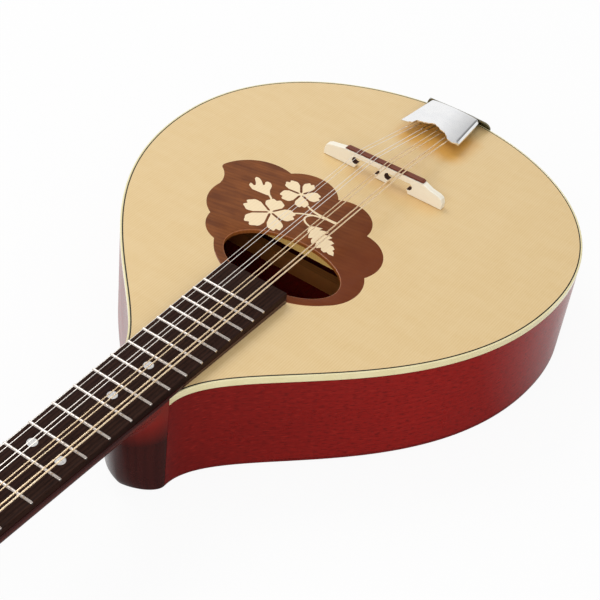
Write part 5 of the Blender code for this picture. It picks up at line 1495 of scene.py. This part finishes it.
def post():
    hub, low = POST_RADIUS + 0.0008, WORM_Z - GEAR_THICKNESS / 2
    shape = turned([(0, low - 0.0012), (POST_RADIUS * 0.70, low - 0.0012),
                    (POST_RADIUS * 0.75, low - 0.0008),
                    (POST_RADIUS * 0.75, low + 0.0006), (hub, low + 0.0006), (hub, PLATE_FACE - JOINT),
                    (POST_RADIUS, PLATE_FACE - JOINT), (POST_RADIUS, POST_TOP - 0.0012),
                    (POST_RADIUS * 0.90, POST_TOP - 0.0005), (POST_RADIUS * 0.66, POST_TOP),
                    (0, POST_TOP)], 32)
    bore = turned([(0, -0.006), (0.0009, -0.006), (0.0009, 0.006), (0, 0.006)], 16, (1, 0, 0))
    bmesh.ops.translate(bore, verts=bore.verts, vec=(0, 0, STRING_HOLE_Z))
    return boolean(shape, bore)


for number in range(1, 2 * POST_COUNT + 1):
    body = "post_%d" % number
    place = post_frame(number)
    finish_piece("turned_post_%d" % number, moved(post(), place), NICKEL, body,
                 ("tuner_post_%d" % number,))
    wheel = finish_piece("worm_gear_%d" % number, moved(gear(), place), BRASS, body)
    eased(wheel, 0.0001, 1)
print("gear pitch diameter %.1f mm" % (2000 * GEAR_RADIUS))

# %% Worm, shaft and button
WORM_CORE = 0.0020
WORM_TIP = 0.0030
WORM_HALF_LENGTH = 0.0036
SHAFT_RADIUS = 0.0016
EAR_X = 0.0048
EAR_THICKNESS = 0.0012
BUTTON_START = 0.0150
BUTTON_LENGTH = 0.0150
BUTTON_HALF_WIDTH = 0.0085
BUTTON_HALF_THICKNESS = 0.0036
THREAD_STEPS = 24


def thread():
    """One right-handed thread about +X: a small wedge spun with a lead."""
    lead = GEAR_MODULE * pi
    turns = 2 * WORM_HALF_LENGTH / lead - 0.5
    start = -lead * turns / 2
    bm = bmesh.new()
    inner = WORM_CORE - 0.0003
    chain = [bm.verts.new((start + x, 0, z)) for x, z in (
        (-0.00042, inner), (-0.00022, WORM_TIP), (0.00022, WORM_TIP), (0.00042, inner))]
    wedge = bm.faces.new(chain)
    steps = int(turns * THREAD_STEPS)
    bmesh.ops.rotate(bm, verts=bm.verts, cent=(0, 0, 0),
                     matrix=Matrix.Rotation(-pi * steps / THREAD_STEPS - pi / 2, 3, "X"))
    bmesh.ops.spin(bm, geom=[wedge] + chain + list(wedge.edges), cent=(0, 0, 0), axis=(1, 0, 0),
                   dvec=(lead / THREAD_STEPS, 0, 0), angle=2 * pi * steps / THREAD_STEPS, steps=steps)
    return bm


def shaft_solid(side):
    """The steel shaft with its worm core and the collar that meets the button."""
    points = [(0, -EAR_X - EAR_THICKNESS - 0.0010), (SHAFT_RADIUS, -EAR_X - EAR_THICKNESS - 0.0010),
              (SHAFT_RADIUS, -WORM_HALF_LENGTH), (WORM_CORE, -WORM_HALF_LENGTH),
              (WORM_CORE, WORM_HALF_LENGTH),
              (SHAFT_RADIUS, WORM_HALF_LENGTH), (SHAFT_RADIUS, BUTTON_START - 0.0022),
              (SHAFT_RADIUS + 0.0008, BUTTON_START - 0.0018), (SHAFT_RADIUS + 0.0008, BUTTON_START + 0.0020),
              (0, BUTTON_START + 0.0020)]
    return turned(points, 24, (side, 0, 0))


def knob(side):
    """A flat oval button: a sphere drawn out, swelling away from the shaft, then smoothed."""
    bm = bmesh.new()
    bmesh.ops.create_uvsphere(bm, u_segments=28, v_segments=16, radius=1)
    bmesh.ops.rotate(bm, verts=bm.verts, cent=(0, 0, 0), matrix=Matrix.Rotation(radians(90), 3, "Y"))
    for vert in bm.verts:
        along = vert.co.x * side
        girth = sqrt(max(0.0, 1 - vert.co.x ** 2))
        scale = girth ** 0.45 / girth if girth > 0 else 0.0
        vert.co.y *= BUTTON_HALF_WIDTH * scale * (0.86 + 0.14 * along)
        vert.co.z *= BUTTON_HALF_THICKNESS * scale * (0.93 + 0.07 * along)
        vert.co.x = side * (BUTTON_START + BUTTON_LENGTH / 2 + along * BUTTON_LENGTH / 2)
    return bm


for number in range(1, 2 * POST_COUNT + 1):
    side = 1 if number <= POST_COUNT else -1
    place = post_frame(number) @ Matrix.Translation((0, WORM_OFFSET, WORM_Z))
    body = "button_%d" % number
    steel = moved(add_to(shaft_solid(side), thread()), place)
    finish_piece("worm_shaft_%d" % number, steel, NICKEL, body, ("tuner_button_%d" % number,))
    finish_piece("button_knob_%d" % number, moved(knob(side), place), BUTTON, body)
print("tuners:", 2 * POST_COUNT)

# %% Tuner plates and their screws
SCREW_RADIUS = 0.0021
SCREW_X = 0.0060


def screw():
    """A domed wood screw with a cross cut in its head."""
    head_shape = turned([(0, 0.0009), (SCREW_RADIUS * 0.55, 0.0008), (SCREW_RADIUS * 0.9, 0.0004),
                         (SCREW_RADIUS, 0), (SCREW_RADIUS * 0.9, -0.0003), (0, -0.0003)], 24)
    for turn in (0, radians(90)):
        cut = bmesh.new()
        bmesh.ops.create_cube(cut, size=1)
        size = Matrix.Diagonal((SCREW_RADIUS * 1.3, 0.0005, 0.0008, 1))
        moved(cut, Matrix.Translation((0, 0, 0.0009)) @ Matrix.Rotation(turn, 4, "Z") @ size)
        head_shape = boolean(head_shape, cut)
    return head_shape


for side, label in ((1, "bass"), (-1, "treble")):
    softened("tuner_strip_" + label, "tuner_plate_" + label, NICKEL, 0.0002, 1)
    screws = bmesh.new()
    for k in range(POST_COUNT + 1):
        y = POST_PITCH * (0.5 - k) - 0.002 if k else WORM_OFFSET + 0.0042
        place = head @ row(side) @ Matrix.Translation((side * SCREW_X if k else 0, y, PLATE_FACE))
        add_to(screws, screw(), place @ Matrix.Rotation(pi, 4, "X"))
    finish_piece("tuner_screws_" + label, screws, NICKEL)
print("screws a side:", POST_COUNT + 1)

# %% [markdown]
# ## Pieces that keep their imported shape
#
# Strings, blocks, linings and braces are already the right shape. They only need a finish: plain
# steel for the four thin strings, bronze-wound for the four thick ones, bare softwood inside.

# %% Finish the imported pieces
finishes = {"neck_reinforcing_rod": ROD}
for i in range(1, 2 * POST_COUNT + 1):
    finishes["string_%d" % i] = PLAIN_WIRE if i <= POST_COUNT else BRONZE_WIRE
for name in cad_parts:
    if "brace" in name or "lining" in name or name.endswith("_block"):
        finishes[name] = SOFTWOOD
for name, material in finishes.items():
    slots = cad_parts[name].data.materials
    slots.clear()
    slots.append(material)
print("strings and inner work finished")

# %% [markdown]
# ## Studio
#
# The photograph is a cut-out on white, lit softly from above. A white floor and a white world
# give the background. The lamps are large and their level is plain, so that a colour renders
# about as it is written. In reflections the world is two wide white boxes, left and right, with
# a dimmer gap between them. That gap is what draws the dark line down the metal cover's edge.
# Seen in a reflection, the floor is dark beside the bass flank and bright past the tail and the
# treble side, so that the near side keeps its deep red and the far one its sheen.

# %% Floor
FLOOR_SIZE = 14.0
FLOOR_DROP = 0.0005
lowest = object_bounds()[0][2]

floor_mesh = bmesh.new()
bmesh.ops.create_grid(floor_mesh, x_segments=2, y_segments=2, size=FLOOR_SIZE / 2)
bmesh.ops.translate(floor_mesh, verts=floor_mesh.verts, vec=(0, 0, lowest - FLOOR_DROP))
floor_data = bpy.data.meshes.new("studio_floor")
floor_mesh.to_mesh(floor_data)
floor_mesh.free()
floor = shown(bpy.data.objects.new("studio_floor", floor_data))

FLOOR_SHOWN = 0.92
FLOOR_NEAR = 0.10
FLOOR_FAR = 0.95


def ray_kinds(tree):
    """Two masks: rays straight from the camera, and rays met in a reflection or through a gloss."""
    paths = tree.nodes.new("ShaderNodeLightPath").outputs
    mirrored = maths(tree, "MAXIMUM", paths["Is Glossy Ray"], paths["Is Transmission Ray"])
    return paths["Is Camera Ray"], mirrored


floor_paint, floor_tree, floor_shader = start_material("white_floor", Roughness=0.9)
grit = noise(floor_tree, object_place(floor_tree), 3.0, 2.0)
paint = blend_colours(floor_tree, grit, (0.90, 0.90, 0.90, 1), (0.92, 0.92, 0.92, 1))
floor_tree.links.new(paint, floor_shader.inputs["Base Color"])
seen, in_mirror = ray_kinds(floor_tree)
floor_parts = axes_of(floor_tree, object_place(floor_tree))
towards_tail = between(floor_tree, floor_parts[1], -0.08, 0.08, FLOOR_NEAR, FLOOR_FAR)
towards_treble = between(floor_tree, floor_parts[0], 0.01, -0.03, FLOOR_NEAR, FLOOR_FAR)
far_side = maths(floor_tree, "MAXIMUM", towards_tail, towards_treble)
level_seen = maths(floor_tree, "MULTIPLY_ADD", in_mirror, maths(floor_tree, "SUBTRACT", far_side, 1.0), 1.0)
glow = add_node(floor_tree, "ShaderNodeEmission", {"Color": (1, 1, 1, 1), "Strength": level_seen})
share = maths(floor_tree, "MAXIMUM", in_mirror,
              maths(floor_tree, "MULTIPLY", seen, FLOOR_SHOWN))
mix = add_node(floor_tree, "ShaderNodeMixShader", {0: share, 1: floor_shader.outputs[0], 2: glow.outputs[0]})
floor_tree.links.new(mix.outputs[0], floor_tree.nodes["Material Output"].inputs["Surface"])
floor_data.materials.append(floor_paint)
print("floor at z = %.4f" % (lowest - FLOOR_DROP))

# %% World and lamps
WORLD_LIGHT = 0.62

world = bpy.data.worlds.new("studio")
bpy.context.scene.world = world
world.use_nodes = True
world_tree = world.node_tree
background = world_tree.nodes["Background"]
background.inputs["Color"].default_value = (1, 1, 1, 1)
seen, mirrored = ray_kinds(world_tree)
direction = axes_of(world_tree, world_tree.nodes.new("ShaderNodeTexCoord").outputs["Generated"])
left_box = between(world_tree, direction[0], -0.34, -0.05, 1.0, 0.22)
right_box = between(world_tree, direction[0], 0.22, 0.42, 0.22, 0.95)
boxes = maths(world_tree, "MAXIMUM", left_box, right_box)
change = maths(world_tree, "SUBTRACT", boxes, WORLD_LIGHT)
lit = maths(world_tree, "MULTIPLY_ADD", mirrored, change, WORLD_LIGHT)
strength = maths(world_tree, "MAXIMUM", lit, seen)
world_tree.links.new(strength, background.inputs["Strength"])


def add_lamp(name, place, target, size, watts):
    """A square soft box that looks at a target."""
    light = bpy.data.lights.new(name, "AREA")
    light.shape = "SQUARE"
    light.size = size
    light.energy = watts
    lamp = shown(bpy.data.objects.new(name, light))
    aim = (Vector(target) - Vector(place)).to_track_quat("-Z", "Y")
    lamp.matrix_world = Matrix.Translation(place) @ aim.to_matrix().to_4x4()


add_lamp("key_box", (-1.3, 0.2, 1.7), (0, -0.15, 0.05), 1.0, 13)
add_lamp("front_fill", (0.6, -2.1, 1.2), (0.05, -0.2, 0.04), 1.2, 16)
bpy.context.scene.view_settings.view_transform = "Standard"
